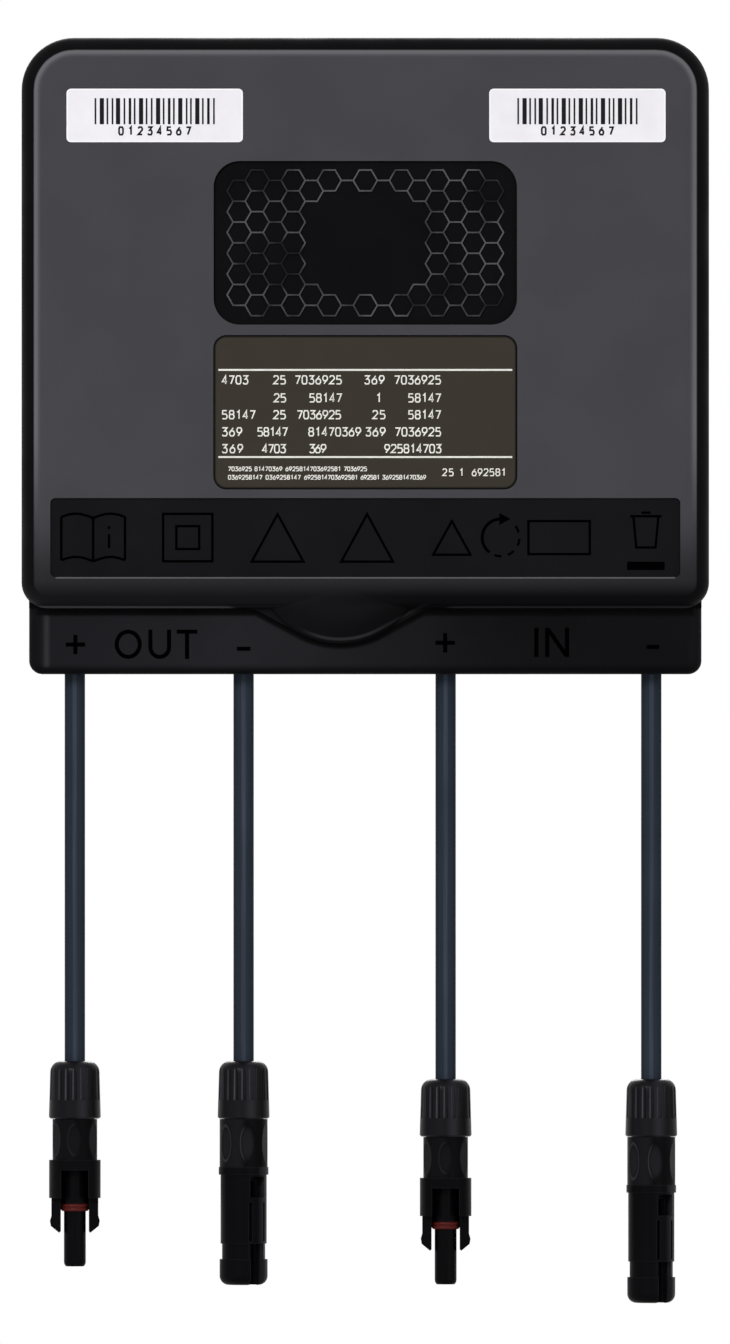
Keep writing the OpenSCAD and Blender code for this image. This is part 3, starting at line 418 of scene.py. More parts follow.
def tray_finish():
    """Black textured plastic with painted shade, darker to the right and under the cover, and a painted
    highlight at the left end.
    """
    finish = Finish("tray_plastic", Specular_IOR_Level=0.04)
    x, _, z = finish.split("Object")
    backward = finish.split("Normal")[1]
    front = finish.ramp(backward, *LOOKS_FRONT)
    # Painted shade: the strip is lighter at the left and darker towards the right.
    left = finish.mix(finish.ramp(x, *TRAY_LIGHTENS), shade("17161a"), shade("1e1d21"))
    colour = finish.mottle(finish.mix(finish.ramp(x, *TRAY_DARKENS), left, shade("0a090b")), 0.08)
    # Painted highlight: a light line beside the strip's rounded left end.
    line = finish.times(finish.ramp(finish.apart(x, TRAY_LINE_X), *TRAY_LINE), front)
    colour = finish.mix(line, colour, shade("2e2d31"))
    # Painted shade on the strip's turned ends and along its foot.
    ends = finish.ramp(finish.math("ABSOLUTE", x), *TRAY_ENDS)
    colour = finish.mix(ends, colour, shade("0d0c0f"))
    colour = finish.mix(finish.ramp(z, *TRAY_FOOT), colour, shade("040305"))
    covered = finish.math("MAXIMUM", inside_lip(finish, x, z), finish.minus(z, SHADOW_Z))
    shadow = finish.times(finish.ramp(covered, *SHADOW_FADES), front)
    colour = finish.mix(shadow, colour, shade("020102"))
    away = finish.ramp(backward, *LOOKS_BACK)
    finish.set("Base Color", finish.mix(away, colour, finish.mottle(shade("1f1e22"), 0.1)))
    finish.vary_roughness(0.58, spread=0.06)
    finish.grain(HOUSING_GRAIN, HOUSING_GRAIN_DEPTH)
    return finish


# The leads' finishes, with the same kind of pairs

CONNECTOR_GRAIN = 1200.0
CONNECTOR_GRAIN_DEPTH = 0.012 * MM
EDGE_W = 0.5 * MM
EDGE_SHARE = 0.6

# How far a cable's face is turned to the front or the back, as a part of the normal, for its painted shade
# and highlight
JACKET_FRONT = (0.3, 0.8)
JACKET_HIGHLIGHT = (0.96, 0.998)

# How far a flute's wall is turned about the nut's axis, and offsets to the right of that axis, for its
# painted highlights and shade
FLUTE_WALL = (2 * MM, 5 * MM)
FLUTES_LIGHTEN = (-7 * MM, -1 * MM)
FLUTES_LEAST = 0.25
NUT_DARKENS = (3 * MM, 7 * MM)
NUT_SHEEN_X = 2.4 * MM
NUT_SHEEN = (3 * MM, 0.0)
NUT_SHEEN_SHARE = 0.5

# Depths below a grip's round surface, and offsets to the right of its axis, for its painted highlights
DISH_SINKS = (0.05 * MM, 0.35 * MM)
RIM_DEPTH = 0.08 * MM
RIM_LINE = (0.1 * MM, 0.02 * MM)
RIM_FADES_IN = (1 * MM, -1 * MM)
SOCKET_HIGHLIGHT = (4.5 * MM, 7 * MM)


def cable_finish():
    """Satin slate jacket, fine lines from the extruder, painted shade at its sides, painted highlight front
    and back.
    """
    finish = Finish("cable_jacket", Specular_IOR_Level=0.015)
    drawn = finish.noise(scale=1600.0, detail=2.0, stretch=(1.0, 1.0, 0.01))
    facing = finish.math("ABSOLUTE", finish.split("Normal")[1])
    # Painted shade at the sides, and a painted highlight along the front and back.
    base = finish.mix(finish.ramp(facing, *JACKET_FRONT), shade("1d222a"), shade("2b323c"))
    base = finish.mix(finish.ramp(facing, *JACKET_HIGHLIGHT), base, shade("3e4550"))
    share = finish.ramp(drawn, *MARKS, end=0.5)
    finish.set("Base Color", finish.mix(share, finish.mottle(base, 0.08), shade("262c36")))
    finish.vary_roughness(0.42, spread=0.05)
    finish.relief(drawn, depth=0.01 * MM)
    return finish


def about_axis(finish, lead):
    """Offsets from the upright axis of a lead, across and in depth, and the height."""
    axis = middle(lead + "_cable")
    x, y, z = finish.split("Object")
    return finish.minus(x, axis.x), finish.minus(y, axis.y), z


def nut_finish(lead):
    """Black plastic, painted shade at the right, painted highlights down the front and on one wall of a
    flute.
    """
    finish = Finish(lead + "_nut_plastic", Specular_IOR_Level=0.08)
    across, back, _ = about_axis(finish, lead)
    rightward, backward, _ = finish.split("Normal")
    aside = finish.minus(finish.times(across, backward), finish.times(back, rightward))
    # Painted highlight on one wall of each flute, strongest towards the left.
    lit = finish.ramp(across, *FLUTES_LIGHTEN, start=FLUTES_LEAST)
    wall = finish.times(finish.ramp(aside, *FLUTE_WALL), lit)
    # Painted highlight down the nut just right of its axis, and painted shade at its right.
    sheen = finish.ramp(finish.apart(across, NUT_SHEEN_X), *NUT_SHEEN, end=NUT_SHEEN_SHARE)
    base = finish.mix(finish.ramp(across, *NUT_DARKENS), shade("0d0c10"), shade("050406"))
    colour = finish.mix(sheen, finish.mottle(base, 0.1), shade("2a282f"))
    finish.set("Base Color", finish.mix(wall, colour, shade("4c4a53")))
    finish.vary_roughness(0.36, spread=0.06)
    finish.grain(CONNECTOR_GRAIN, CONNECTOR_GRAIN_DEPTH)
    return finish


def connector_finish(lead, kind):
    """Black plastic, lighter on edges; painted highlights in the grip's dishes, on their left rims, at a
    socket's right.
    """
    finish = Finish(f"{lead}_{kind}_plastic", Specular_IOR_Level=0.03)
    across, back, z = about_axis(finish, lead)
    sunk = finish.minus(GRIP_R[kind], finish.reach(across, back))
    grip_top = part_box(lead + "_nut")[0].z
    on_grip = finish.near(z, grip_top - GRIP_L[kind] / 2, GRIP_L[kind] / 2)
    # Painted highlights in the grip's dishes and on their left rims.
    dish = finish.times(finish.ramp(sunk, *DISH_SINKS), on_grip)
    rim = finish.times(finish.ramp(finish.apart(sunk, RIM_DEPTH), *RIM_LINE), on_grip)
    rim = finish.times(rim, finish.ramp(across, *RIM_FADES_IN))
    colour = finish.mottle(shade("070608"), 0.12)
    colour = finish.mix(finish.times(finish.edge(EDGE_W), EDGE_SHARE), colour, shade("201e23"))
    if kind == "socket":
        # Painted highlight along the right of a socket, below its grip.
        below = finish.math("LESS_THAN", z, grip_top - GRIP_L[kind])
        streak = finish.times(finish.ramp(across, *SOCKET_HIGHLIGHT), below)
        colour = finish.mix(streak, colour, shade("2b292d"))
    colour = finish.mix(dish, colour, shade(DISH_SHADES[kind]))
    finish.set("Base Color", finish.mix(rim, colour, shade(RIM_SHADES[kind])))
    finish.vary_roughness(0.38, spread=0.06)
    finish.grain(CONNECTOR_GRAIN, CONNECTOR_GRAIN_DEPTH)
    return finish


# Where a label's edge shade starts and is complete, in from its outline
BORDER_STARTS = 0.7 * MM
BORDER_ENDS = 0.2 * MM


def label_finish(node, code, edge_code, radius, specular):
    """Printed film: faint fibres, and an edge of another shade round its outline."""
    finish = Finish(node + "_film", Specular_IOR_Level=specular)
    place = middle(node)
    half = size(node) / 2
    x, _, z = finish.split("Object")
    reach_x = finish.math("MAXIMUM", finish.minus(finish.apart(x, place.x), half.x - radius), 0.0)
    reach_z = finish.math("MAXIMUM", finish.minus(finish.apart(z, place.z), half.z - radius), 0.0)
    border = finish.ramp(finish.reach(reach_x, reach_z), radius - BORDER_STARTS, radius - BORDER_ENDS)
    film = finish.mottle(shade(code), amount=0.025, scale=120.0)
    finish.set("Base Color", finish.mix(border, film, shade(edge_code)))
    finish.vary_roughness(0.45, spread=0.05)
    finish.grain(scale=900.0, depth=0.006 * MM, detail=3.0)
    return finish


# Finishes of the nodes

cover = cover_finish()
tray = tray_finish()
cable = cable_finish()
gland = moulded("gland_plastic", "141316", roughness=0.45, specular=0.1)
rubber = moulded("black_rubber", "161618", roughness=0.72, specular=0.15, grain_mm=0.3, depth_mm=0.02)
clamp = moulded("clamp_plastic", "6a6b6e", roughness=0.5, specular=0.3)
red_rubber = moulded("red_rubber", "4c130e", roughness=0.5, specular=0.15, grain_mm=0.4, depth_mm=0.01)
chip = moulded("chip_compound", "202022", roughness=0.6, specular=0.3, grain_mm=0.2, depth_mm=0.01)
ferrite = moulded("ferrite", "3a3a3e", roughness=0.7, specular=0.3, grain_mm=0.3, depth_mm=0.03)
film_case = moulded("film_case", "b9a23a", roughness=0.45, specular=0.4)
can = moulded("can_sleeve", "2b2f36", roughness=0.35, specular=0.5, grain_mm=0.6, depth_mm=0.01)
pad = moulded("thermal_pad_silicone", "8c96a0", roughness=0.8, specular=0.2, grain_mm=0.6, depth_mm=0.03)
board = moulded("solder_mask", "1f5a38", roughness=0.3, specular=0.5, grain_mm=0.4, depth_mm=0.01)
steel = metal("zinc_steel", "b4b6ba", roughness=0.34)
brass = metal("turned_brass", "b8923e", roughness=0.3)
tin = metal("tin_plate", "c4c6c8", roughness=0.28, stretch=(1, 1, 0.1))
aluminium = metal("milled_aluminium", "babcc0", roughness=0.38, stretch=(0.1, 1, 1))
copper = metal("enamelled_copper", "a8602c", roughness=0.3, stretch=(1, 0.1, 1))
black_ink = ink("black_ink", "100f13")
white_ink = ink("white_ink", "eae8e2")
sign_black = ink("sign_black", "010101", roughness=0.8, specular=0.0)

SERIAL_CORNER_R = 1.5 * MM
RATING_CORNER_R = 4 * MM
serial_films = {
    side: label_finish("serial_label_" + side, "f1eff4", "fbfbfd", SERIAL_CORNER_R, 0.08)
    for side in ("left", "right")
}
# The rating label's darker edge is painted shade along its outline.
rating_film = label_finish("rating_label", "3a362f", "201e1a", RATING_CORNER_R, 0.03)

NODE_FINISHES = {
    "front_cover": cover, "back_tray": tray, "cover_gasket": rubber, "cover_screws": steel,
    "mount_inserts": brass, "serial_label_left": serial_films["left"],
    "serial_label_right": serial_films["right"], "rating_label": rating_film, "circuit_board": board,
    "board_screws": steel, "heat_spreader": aluminium, "thermal_pad": pad, "mosfets": chip,
    "choke_core_left": ferrite, "choke_core_right": ferrite, "choke_winding_left": copper,
    "choke_winding_right": copper, "bulk_capacitors": can, "film_capacitors": film_case,
    "control_chip": chip,
}
LEAD_FINISHES = {
    "cable": cable, "lug": tin, "gland_seal": rubber, "gland_cap": gland, "clamp": clamp,
    "seal": rubber, "contact": tin, "ring": red_rubber,
}


def lead_finish(lead, kind):
    """Finish of one piece of a lead. Nuts, plugs and sockets have their own, about the lead's axis."""
    if kind == "nut":
        return nut_finish(lead)
    if kind in GRIP_R:
        return connector_finish(lead, kind)
    return LEAD_FINISHES[kind]


def finish_of(name):
    for lead in LEADS:
        if name.startswith(lead):
            return lead_finish(lead, name.removeprefix(lead + "_"))
    return NODE_FINISHES[name]


for name, node in nodes.items():
    node.data.materials.clear()
    node.data.materials.append(finish_of(name).material)

# Leads: a cord along each route, in the place of its imported cable

CORD_FACETS = 8


def make_cord(lead, route):
    x, y, _ = middle(lead + "_cable")
    diameter = size(lead + "_cable").x
    data = bpy.data.curves.new(lead + "_cord", "CURVE")
    data.dimensions = "3D"
    data.bevel_depth = diameter / 2
    data.bevel_resolution = CORD_FACETS
    data.use_fill_caps = True
    spline = data.splines.new("POLY")
    spline.points.add(len(route) - 1)
    for point, height in zip(spline.points, route):
        point.co = (x, y, STRIP_Z + height * MM, 1.0)
    spline.use_smooth = True
    data.materials.append(cable.material)
    piece = bpy.data.objects.new(lead + "_cord", data)
    scene.collection.objects.link(piece)
    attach(piece, "root")
    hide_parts(lead + "_cable")


for lead, route in LEADS.items():
    make_cord(lead, route)

# Print and raised signs: strokes are lists of points on the front, in millimetres across and up

PRINT_THICK = 0.05 * MM
SIGN_THICK = 0.12 * MM
# How far a corner's point may move out along its mitre, as the least cosine of half its turn
MITRE_LIMIT = 0.35
# Strokes that cross differ a little in thickness, so that their faces do not coincide
LAYERS = 4
LAYER_STEP = 0.08
ROUND_STEPS = 28


def stroke(mesh, points, width, level, thickness, closed=False):
    """Adds a flat bar that follows the points, with mitred corners, standing that far out of a face."""
    places = [Vector((x, z)) * MM for x, z in points]
    count = len(places)
    rings = []
    for i, place in enumerate(places):
        before = places[i - 1] if closed or i else None
        after = places[(i + 1) % count] if closed or i < count - 1 else None
        along_in = (place - before).normalized() if before else (after - place).normalized()
        along_out = (after - place).normalized() if after else along_in
        along = along_in + along_out
        across = Vector((-along.y, along.x)).normalized()
        lean = max(MITRE_LIMIT, across.dot(Vector((-along_in.y, along_in.x))))
        side = across * (width * MM / 2 / lean)
        corners = [(place + side, 1), (place - side, 1), (place - side, 0), (place + side, 0)]
        rings.append([mesh.verts.new((p.x, level - out * thickness, p.y)) for p, out in corners])
    for i in range(count if closed else count - 1):
        first = rings[i]
        second = rings[(i + 1) % count]
        for k in range(4):
            mesh.faces.new((first[k], first[(k + 1) % 4], second[(k + 1) % 4], second[k]))
    if not closed:
        mesh.faces.new(rings[0][::-1])
        mesh.faces.new(rings[-1])


def printed(name, strokes, level, finish, thickness):
    """One piece of print. Each stroke is its points, its width, and whether it closes."""
    mesh = bmesh.new()
    for k, (points, width, closed) in enumerate(strokes):
        stroke(mesh, points, width, level, thickness * (1 + LAYER_STEP * (k % LAYERS)), closed)
    bmesh.ops.recalc_face_normals(mesh, faces=mesh.faces)
    data = bpy.data.meshes.new(name)
    mesh.to_mesh(data)
    mesh.free()
    data.materials.append(finish.material)
    piece = bpy.data.objects.new(name, data)
    scene.collection.objects.link(piece)
    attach(piece, "root")


# Characters on a grid one unit wide and high: open or closed lines
CHARACTERS = {
    "0": [("closed", (0.2, 0), (0.8, 0), (1, 0.2), (1, 0.8), (0.8, 1), (0.2, 1), (0, 0.8), (0, 0.2))],
    "1": [("open", (0.2, 0.78), (0.6, 1), (0.6, 0))],
    "2": [("open", (0, 0.8), (0.2, 1), (0.8, 1), (1, 0.8), (1, 0.62), (0, 0.02), (1, 0.02))],
    "3": [("open", (0, 1), (1, 1), (0.45, 0.6), (0.8, 0.6), (1, 0.42), (1, 0.18), (0.8, 0), (0.2, 0),
           (0, 0.15))],
    "4": [("open", (0.7, 0), (0.7, 1), (0, 0.28), (1, 0.28))],
    "5": [("open", (0.95, 1), (0.1, 1), (0.05, 0.58), (0.8, 0.58), (1, 0.4), (1, 0.18), (0.8, 0), (0, 0))],
    "6": [("open", (0.75, 1), (0.05, 0.4)),
          ("closed", (0.2, 0), (0.8, 0), (1, 0.2), (1, 0.4), (0.8, 0.6), (0.2, 0.6), (0, 0.4), (0, 0.2))],
    "7": [("open", (0, 0.98), (1, 0.98), (0.35, 0))],
    "8": [("closed", (0.2, 0), (0.8, 0), (1, 0.18), (1, 0.38), (0.8, 0.54), (0.2, 0.54), (0, 0.38),
           (0, 0.18)),
          ("closed", (0.2, 0.54), (0.8, 0.54), (0.95, 0.7), (0.95, 0.85), (0.8, 1), (0.2, 1),
           (0.05, 0.85), (0.05, 0.7))],
    "9": [("open", (0.25, 0), (0.95, 0.6)),
          ("closed", (0.2, 0.4), (0.8, 0.4), (1, 0.6), (1, 0.8), (0.8, 1), (0.2, 1), (0, 0.8), (0, 0.6))],
    "T": [("open", (0, 1), (1, 1)), ("open", (0.5, 1), (0.5, 0))],
    "I": [("open", (0.5, 1), (0.5, 0))],
    "N": [("open", (0, 0), (0, 1)), ("open", (0.03, 0.96), (0.97, 0.04)), ("open", (1, 0), (1, 1))],
}


def character(sign, x, z, w, h, width):
    """Strokes of one character whose lines' middles fill a box w wide and h high, from its lower left."""
    strokes = []
    for form, *points in CHARACTERS[sign]:
        strokes.append(([(x + px * w, z + pz * h) for px, pz in points], width, form == "closed"))
    return strokes


def writing(signs, x, z, w, h, pitch, width):
    """Strokes of a row of characters, from the lower left of the first one."""
    return [part for k, sign in enumerate(signs) for part in character(sign, x + k * pitch, z, w, h, width)]


def bar(x0, x1, z, height):
    """A level bar from x0 to x1."""
    return [(x0, z), (x1, z)], height, False


def post(x, z0, z1, width):
    """An upright bar from z0 to z1."""
    return [(x, z0), (x, z1)], width, False


def rectangle(x, z, w, h, width):
    """The outline of a rectangle about its middle."""
    low_x, high_x, low_z, high_z = x - w / 2, x + w / 2, z - h / 2, z + h / 2
    return [(low_x, low_z), (high_x, low_z), (high_x, high_z), (low_x, high_z)], width, True


def oval(x, z, w, h, start, end, steps=ROUND_STEPS):
    """Points along part of an oval, between two angles."""
    turns = [math.radians(start + (end - start) * i / steps) for i in range(steps + 1)]
    return [(x + w / 2 * math.cos(t), z + h / 2 * math.sin(t)) for t in turns]


# Print on the serial labels: plain bars and a row of digits, about the label's middle

# Widths of the bars and of the gaps after them, in equal modules
BAR_MODULES = (2, 5, 2, 2, 5, 2, 3)
BAR_GAPS = (4, 3, 4, 3, 4)
BAR_COUNT = 22
BARS_W = 40.0
BARS_H = 8.7
BARS_RISE = 1.4
SERIAL_DIGITS = "01234567"
DIGITS_DROP = 6.4
DIGIT_W = 1.3
DIGIT_H = 2.5
DIGIT_PITCH = 3.2
DIGIT_STROKE = 0.6


def bar_code(side):
    x, _, z = middle("serial_label_" + side) / MM
    widths = [(BAR_MODULES[k % len(BAR_MODULES)], BAR_GAPS[k % len(BAR_GAPS)]) for k in range(BAR_COUNT)]
    module = BARS_W / (sum(w + g for w, g in widths) - widths[-1][1])
    at = x - BARS_W / 2
    bars = []
    for width, gap in widths:
        bars.append(bar(at, at + width * module, z + BARS_RISE, BARS_H))
        at += (width + gap) * module
    printed(f"serial_{side}_bars", bars, SERIAL_Y, black_ink, PRINT_THICK)
    start = x - DIGIT_PITCH * (len(SERIAL_DIGITS) - 1) / 2 - DIGIT_W / 2
    digits = writing(SERIAL_DIGITS, start, z - DIGITS_DROP, DIGIT_W, DIGIT_H, DIGIT_PITCH, DIGIT_STROKE)
    printed(f"serial_{side}_digits", digits, SERIAL_Y, black_ink, PRINT_THICK)


for side in serial_films:
    bar_code(side)

# Print on the rating label: two rules, and rows of running digits in the place of words

RULE_HALF = 48.9
RULE_W = 0.6
RULE_ZS = (-4.7, -33.7)
# Rows by the height of their middle, with the start and end of each word
WORD_ROWS = {
    -7.8: ((-47.8, -38.6), (-30.7, -26.1), (-23.5, -7.5), (-0.4, 6.9), (9.6, 25.5)),
    -13.8: ((-30.5, -26.1), (-18.7, -7.5), (3.5, 6.6), (14.2, 25.5)),
    -19.4: ((-47.8, -36.2), (-30.7, -26.1), (-22.8, -7.9), (2.3, 7.2), (14.2, 25.5)),
    -25.1: ((-47.8, -40.5), (-36, -25.7), (-19, -1.1), (0, 7.2), (9.8, 25.5)),
    -30.7: ((-47.8, -40), (-34.4, -26.4), (-18.7, -13), (6.3, 25.5)),
}
SMALL_ROWS = {
    -37.5: ((-45.7, -37.7), (-36.9, -27.5), (-26.6, -8), (-7.2, 0.6)),
    -40.3: ((-45.7, -34.2), (-33.2, -21.4), (-20.4, -2.4), (-1.6, 4.8), (5.6, 20.3)),
}
CORNER_ROWS = {-38.6: ((25.6, 29.9), (31.2, 33.8), (35.4, 47.2))}
WORD_H = 3.1
SMALL_H = 1.6
CORNER_H = 2.6
WORD_STROKE = 0.42
SMALL_STROKE = 0.28
CORNER_STROKE = 0.36
# A digit's width and the distance to the next one, as shares of its height, and how far the digits run on
LETTER_SHARE = 0.5
PITCH_SHARE = 0.72
DIGIT_STEP = 3


def word(start, end, z, height, width):
    """Running digits that fill a span, with their middle at height z."""
    count = max(1, round((end - start) / (PITCH_SHARE * height)))
    pitch = (end - start) / count
    digits = [str((k * DIGIT_STEP + count) % 10) for k in range(count)]
    foot = z - height / 2
    return writing(digits, start + width / 2, foot, LETTER_SHARE * height, height - width, pitch, width)


def lines(rows, height, width):
    """Strokes of all the words in some rows."""
    return [part for z, spans in rows.items() for a, b in spans for part in word(a, b, z, height, width)]


def rating_print():
    rules = [bar(-RULE_HALF, RULE_HALF, z, RULE_W) for z in RULE_ZS]
    printed("rating_rules", rules, RATING_Y, white_ink, PRINT_THICK)
    words = lines(WORD_ROWS, WORD_H, WORD_STROKE)
    words += lines(SMALL_ROWS, SMALL_H, SMALL_STROKE)
    words += lines(CORNER_ROWS, CORNER_H, CORNER_STROKE)
    printed("rating_words", words, RATING_Y, white_ink, PRINT_THICK)


rating_print()

# Signs in the icon band, raised a little, in millimetres and degrees

ICON_W = 0.75
ICON_Z = BAND_Z / MM

# Open book: its pages rise along part of a sine, and its letter is a dot and a stem
BOOK_X = -90.6
BOOK_HALF = 10.6
BOOK_TOP = -54.0
BOOK_H = 14.4
PAGE_RISE = 1.5
PAGE_TURN = 0.92 * math.pi
PAGE_STEPS = 5
BOOK_LETTER = ((-56.7, -57.6), (-59.4, -64.0))

# Two squares, one in the other, and two large triangles
SQUARES_X = -59.1
SQUARES = ((16.4, 15.8), (7.6, 7.6))
TRIANGLE_W = 17.2
TRIANGLE_H = 15.8
TRIANGLE_FOOT = -68.5

# Round arrow: a whole stretch, dashes, and a head at the top
ARROW_X = 45.1
ARROW_R = 6.2
ARROW_ARC = (92, 232)
ARROW_STEPS = 14
ARROW_W = 0.95
DASH_STARTS = range(250, 377, 42)
DASH_TURN = 22
DASH_STEPS = 3
HEAD_TAIL = -0.1
HEAD_TIP = 2.4
HEAD_HALF = 1.3
HEAD_FILL_END = 1.4
HEAD_FILL_W = 1.2

# Bin: heights, and half widths at each of them
BIN_X = 93.4
BIN_FOOT = -63.8
BIN_LID = -53.4
BIN_HANDLE = -52.2
BIN_FOOT_HALF = 3.198
BIN_TOP_HALF = 4.182
BIN_LID_HALF = 5.166
BIN_HANDLE_HALF = 1.476


def book():
    """An open book with a letter on its right page."""
    page_x = BOOK_X + BOOK_HALF / 2
    strokes = [post(BOOK_X, BOOK_TOP, BOOK_TOP - BOOK_H, ICON_W)]
    strokes += [post(page_x, high, low, ICON_W) for high, low in BOOK_LETTER]
    shares = [k / PAGE_STEPS for k in range(PAGE_STEPS + 1)]
    for half in (-BOOK_HALF, BOOK_HALF):
        top = [(BOOK_X + half * t, BOOK_TOP + PAGE_RISE * math.sin(PAGE_TURN * t)) for t in shares]
        foot = [(x, z - BOOK_H) for x, z in top]
        strokes += [(top, ICON_W, False), (foot, ICON_W, False), ([top[-1], foot[-1]], ICON_W, False)]
    return strokes


def triangle(x, w, foot, h):
    return [([(x - w / 2, foot), (x + w / 2, foot), (x, foot + h)], ICON_W, True)]


def round_arrow():
    """A circle, half of it dashed, with a filled head at its top."""
    top = ICON_Z + ARROW_R
    tail = ARROW_X + HEAD_TAIL
    across = 2 * ARROW_R
    head = [(tail, top + HEAD_HALF), (ARROW_X + HEAD_TIP, top), (tail, top - HEAD_HALF)]
    strokes = [
        (oval(ARROW_X, ICON_Z, across, across, *ARROW_ARC, ARROW_STEPS), ARROW_W, False),
        (head, ICON_W, True),
        bar(tail, ARROW_X + HEAD_FILL_END, top, HEAD_FILL_W),
    ]
    for turn in DASH_STARTS:
        dash = oval(ARROW_X, ICON_Z, across, across, turn, turn + DASH_TURN, DASH_STEPS)
        strokes.append((dash, ICON_W, False))
    return strokes


def bin_outline():
    """A bin with its lid and handle, and a bar below it."""
    sides = [
        (BIN_X - BIN_TOP_HALF, BIN_LID), (BIN_X - BIN_FOOT_HALF, BIN_FOOT),
        (BIN_X + BIN_FOOT_HALF, BIN_FOOT), (BIN_X + BIN_TOP_HALF, BIN_LID),
    ]
    return [
        (sides, ICON_W, False),
        bar(BIN_X - BIN_LID_HALF, BIN_X + BIN_LID_HALF, BIN_LID, ICON_W),
        bar(BIN_X - BIN_HANDLE_HALF, BIN_X + BIN_HANDLE_HALF, BIN_HANDLE, ICON_W),
        bar(x0=87.2, x1=99.6, z=-69.9, height=2.7),
    ]


ICONS = {
    "icon_book": book(),
    "icon_squares": [rectangle(SQUARES_X, ICON_Z, w, h, ICON_W) for w, h in SQUARES],
    "icon_triangle_left": triangle(-29.2, TRIANGLE_W, TRIANGLE_FOOT, TRIANGLE_H),
    "icon_triangle_right": triangle(0.6, TRIANGLE_W, TRIANGLE_FOOT, TRIANGLE_H),
    "icon_triangle_small": triangle(x=28.8, w=12.4, foot=-66.2, h=11.2),
    "icon_arrow": round_arrow(),
    "icon_frame": [rectangle(x=64.5, z=ICON_Z, w=20.4, h=11, width=ICON_W)],
    "icon_bin": bin_outline(),
}
for name, strokes in ICONS.items():
    printed(name, strokes, BAND_Y, sign_black, SIGN_THICK)

# Signs and letters on the cable strip

SIGN_W = 1.3
PLUS_HALF = 3.2
# Letters: their foot, the middles of O and U, the left edges of T, I and N, and their widths
LETTER_H = 8.4
LETTER_Z = -100.2
O_X = -79.0
O_W = 7.7
U_X = -68.5
U_W = 6.2
U_BOWL_H = 6.4
T_X = -62.8
T_W = 6.8
I_X = 56.0
I_W = 2.0
N_X = 60.6
N_W = 6.6


def plus(x, z):
    return [bar(x - PLUS_HALF, x + PLUS_HALF, z, SIGN_W), post(x, z - PLUS_HALF, z + PLUS_HALF, SIGN_W)]


def out_letters():
    """The letters O, U and T."""
    top = LETTER_Z + LETTER_H + SIGN_W / 2
    ring = oval(O_X, LETTER_Z + LETTER_H / 2, O_W, LETTER_H, 0, 360)[:-1]
    bowl = oval(U_X, LETTER_Z + U_BOWL_H / 2, U_W, U_BOWL_H, 180, 360)
    cup = [(bowl[0][0], top)] + bowl + [(bowl[-1][0], top)]
    last = character("T", T_X, LETTER_Z - SIGN_W / 2, T_W, LETTER_H + SIGN_W / 2, SIGN_W)
    return [(ring, SIGN_W, True), (cup, SIGN_W, False)] + last


def in_letters():
    """The letters I and N."""
    height = LETTER_H + SIGN_W
    first = character("I", I_X, LETTER_Z, I_W, height, SIGN_W)
    last = character("N", N_X, LETTER_Z, N_W, height, SIGN_W)
    return first + last


STRIP_SIGNS = {
    "sign_out_plus": plus(x=-96.6, z=-96.1),
    "sign_out_minus": [bar(x0=-42.8, x1=-38.3, z=-97.5, height=SIGN_W)],
    "sign_in_plus": plus(x=26.6, z=-95.5),
    "sign_in_minus": [bar(x0=93.7, x1=97.9, z=-96.9, height=SIGN_W)],
    "sign_out": out_letters(),
    "sign_in": in_letters(),
}
for name, strokes in STRIP_SIGNS.items():
    printed(name, strokes, STRIP_Y, sign_black, SIGN_THICK)

# Camera, lamps, world and floor

FLOOR_Z = -360 * MM
FLOOR_HALF = 0.8
# The floor's own white, near its middle and at its edge, and the distances between which it grows
FLOOR_GLOW = (0.6, 1.0)
GLOW_GROWS = (0.4 * FLOOR_HALF, 0.95 * FLOOR_HALF)
AIM = Vector((0.0, -0.02, -0.08))
AMBIENT = 0.37
WHITE = (1, 1, 1, 1)


def make_camera():
    data = bpy.data.cameras.new("front_camera")
    data.sensor_width = SENSOR
    data.lens = SENSOR * (VIEW_DISTANCE + OUTLINE_BEHIND) / (IMAGE_H / PIXELS_PER_MM * MM)
    data.clip_end = 4 * VIEW_DISTANCE
    camera = bpy.data.objects.new("front_camera", data)
    camera.location = (VIEW_X, FACE_Y - VIEW_DISTANCE, VIEW_Z)
    camera.rotation_euler = (math.radians(90), 0, 0)
    scene.collection.objects.link(camera)
    scene.camera = camera


def soft_lamp(name, place, width, watts):
    data = bpy.data.lights.new(name, "AREA")
    data.size = width
    data.energy = watts
    lamp = bpy.data.objects.new(name, data)
    lamp.location = place
    lamp.rotation_euler = (AIM - Vector(place)).to_track_quat("-Z", "Y").to_euler()
    lamp.visible_camera = False
    scene.collection.objects.link(lamp)


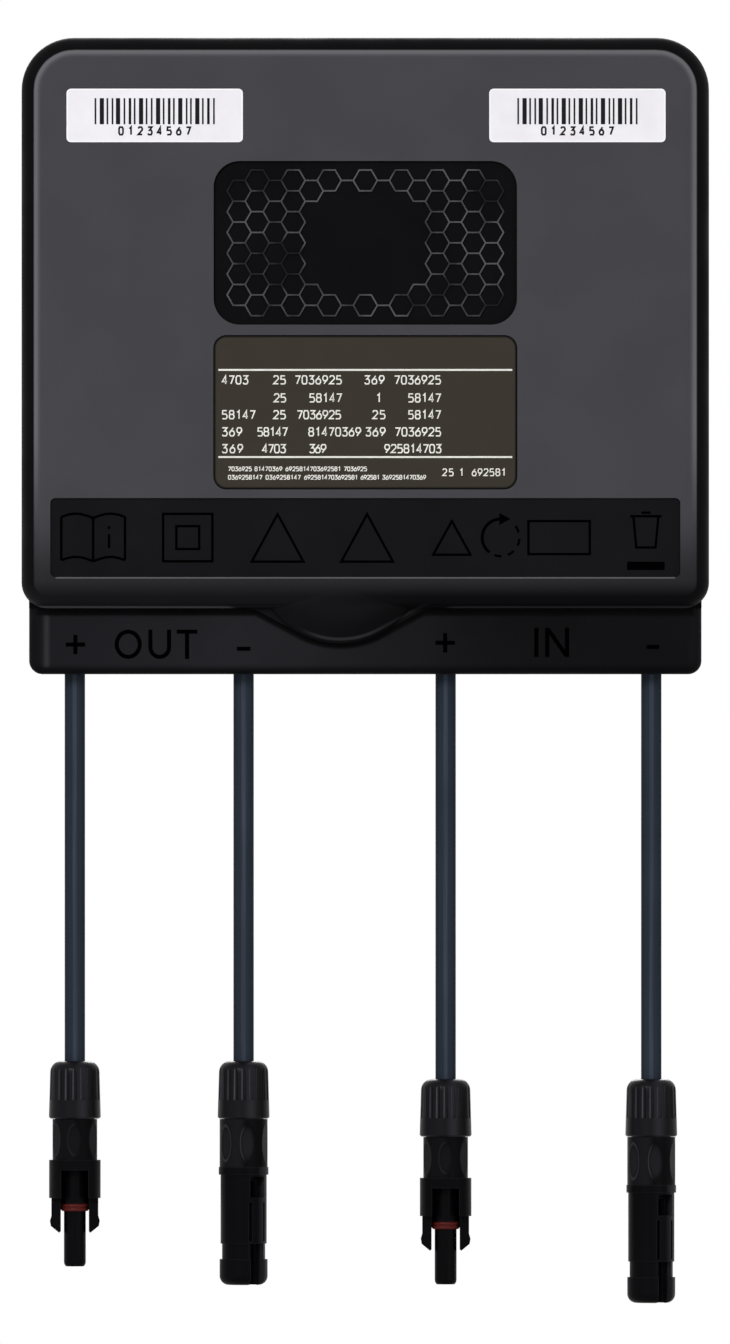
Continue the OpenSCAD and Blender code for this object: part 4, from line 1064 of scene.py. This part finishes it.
def seen_directly(tree):
    """1 for rays that show the background itself, in the picture or in a reflection."""
    path = tree.nodes.new("ShaderNodeLightPath")
    total = path.outputs["Is Camera Ray"]
    for output in ("Is Glossy Ray", "Is Transmission Ray"):
        node = tree.nodes.new("ShaderNodeMath")
        node.operation = "MAXIMUM"
        tree.links.new(total, node.inputs[0])
        tree.links.new(path.outputs[output], node.inputs[1])
        total = node.outputs[0]
    return total


def join_shaders(tree, share, first, second, output):
    """Gives an output node a mix of two shaders."""
    mix = tree.nodes.new("ShaderNodeMixShader")
    tree.links.new(share, mix.inputs[0])
    tree.links.new(first.outputs[0], mix.inputs[1])
    tree.links.new(second.outputs[0], mix.inputs[2])
    tree.links.new(mix.outputs[0], tree.nodes[output].inputs["Surface"])


def make_world():
    """Even light from all round, and a white background."""
    world = bpy.data.worlds.new("studio")
    world.use_nodes = True
    tree = world.node_tree
    light = tree.nodes["Background"]
    light.inputs["Color"].default_value = WHITE
    light.inputs["Strength"].default_value = AMBIENT
    white = tree.nodes.new("ShaderNodeBackground")
    white.inputs["Color"].default_value = WHITE
    join_shaders(tree, seen_directly(tree), light, white, "World Output")
    scene.world = world


def floor_finish():
    """Pale paper, which shows white towards its edge and keeps a soft shadow."""
    finish = Finish("floor_paper", Roughness=0.9, Specular_IOR_Level=0.0)
    finish.set("Base Color", finish.mottle(shade("ededed"), amount=0.01, scale=8.0))
    glow = finish.add("ShaderNodeEmission")
    x, y, _ = finish.split("Object")
    grow = finish.ramp(finish.reach(x, y), *GLOW_GROWS, *FLOOR_GLOW)
    share = finish.times(seen_directly(finish.tree), grow)
    join_shaders(finish.tree, share, finish.surface, glow, "Material Output")
    return finish


def make_floor():
    data = bpy.data.meshes.new("floor")
    signs = ((-1, -1), (1, -1), (1, 1), (-1, 1))
    data.from_pydata([(x * FLOOR_HALF, y * FLOOR_HALF, FLOOR_Z) for x, y in signs], [], [(0, 1, 2, 3)])
    data.materials.append(floor_finish().material)
    floor = bpy.data.objects.new("floor", data)
    scene.collection.objects.link(floor)


make_camera()
soft_lamp("key", place=(-0.9, -2.0, 0.9), width=0.7, watts=27.0)
soft_lamp("fill", place=(1.3, -1.7, 0.2), width=1.2, watts=8.0)
soft_lamp("back", place=(0.0, 2.2, 0.9), width=1.0, watts=24.0)
make_world()
make_floor()
scene.view_settings.view_transform = "Standard"
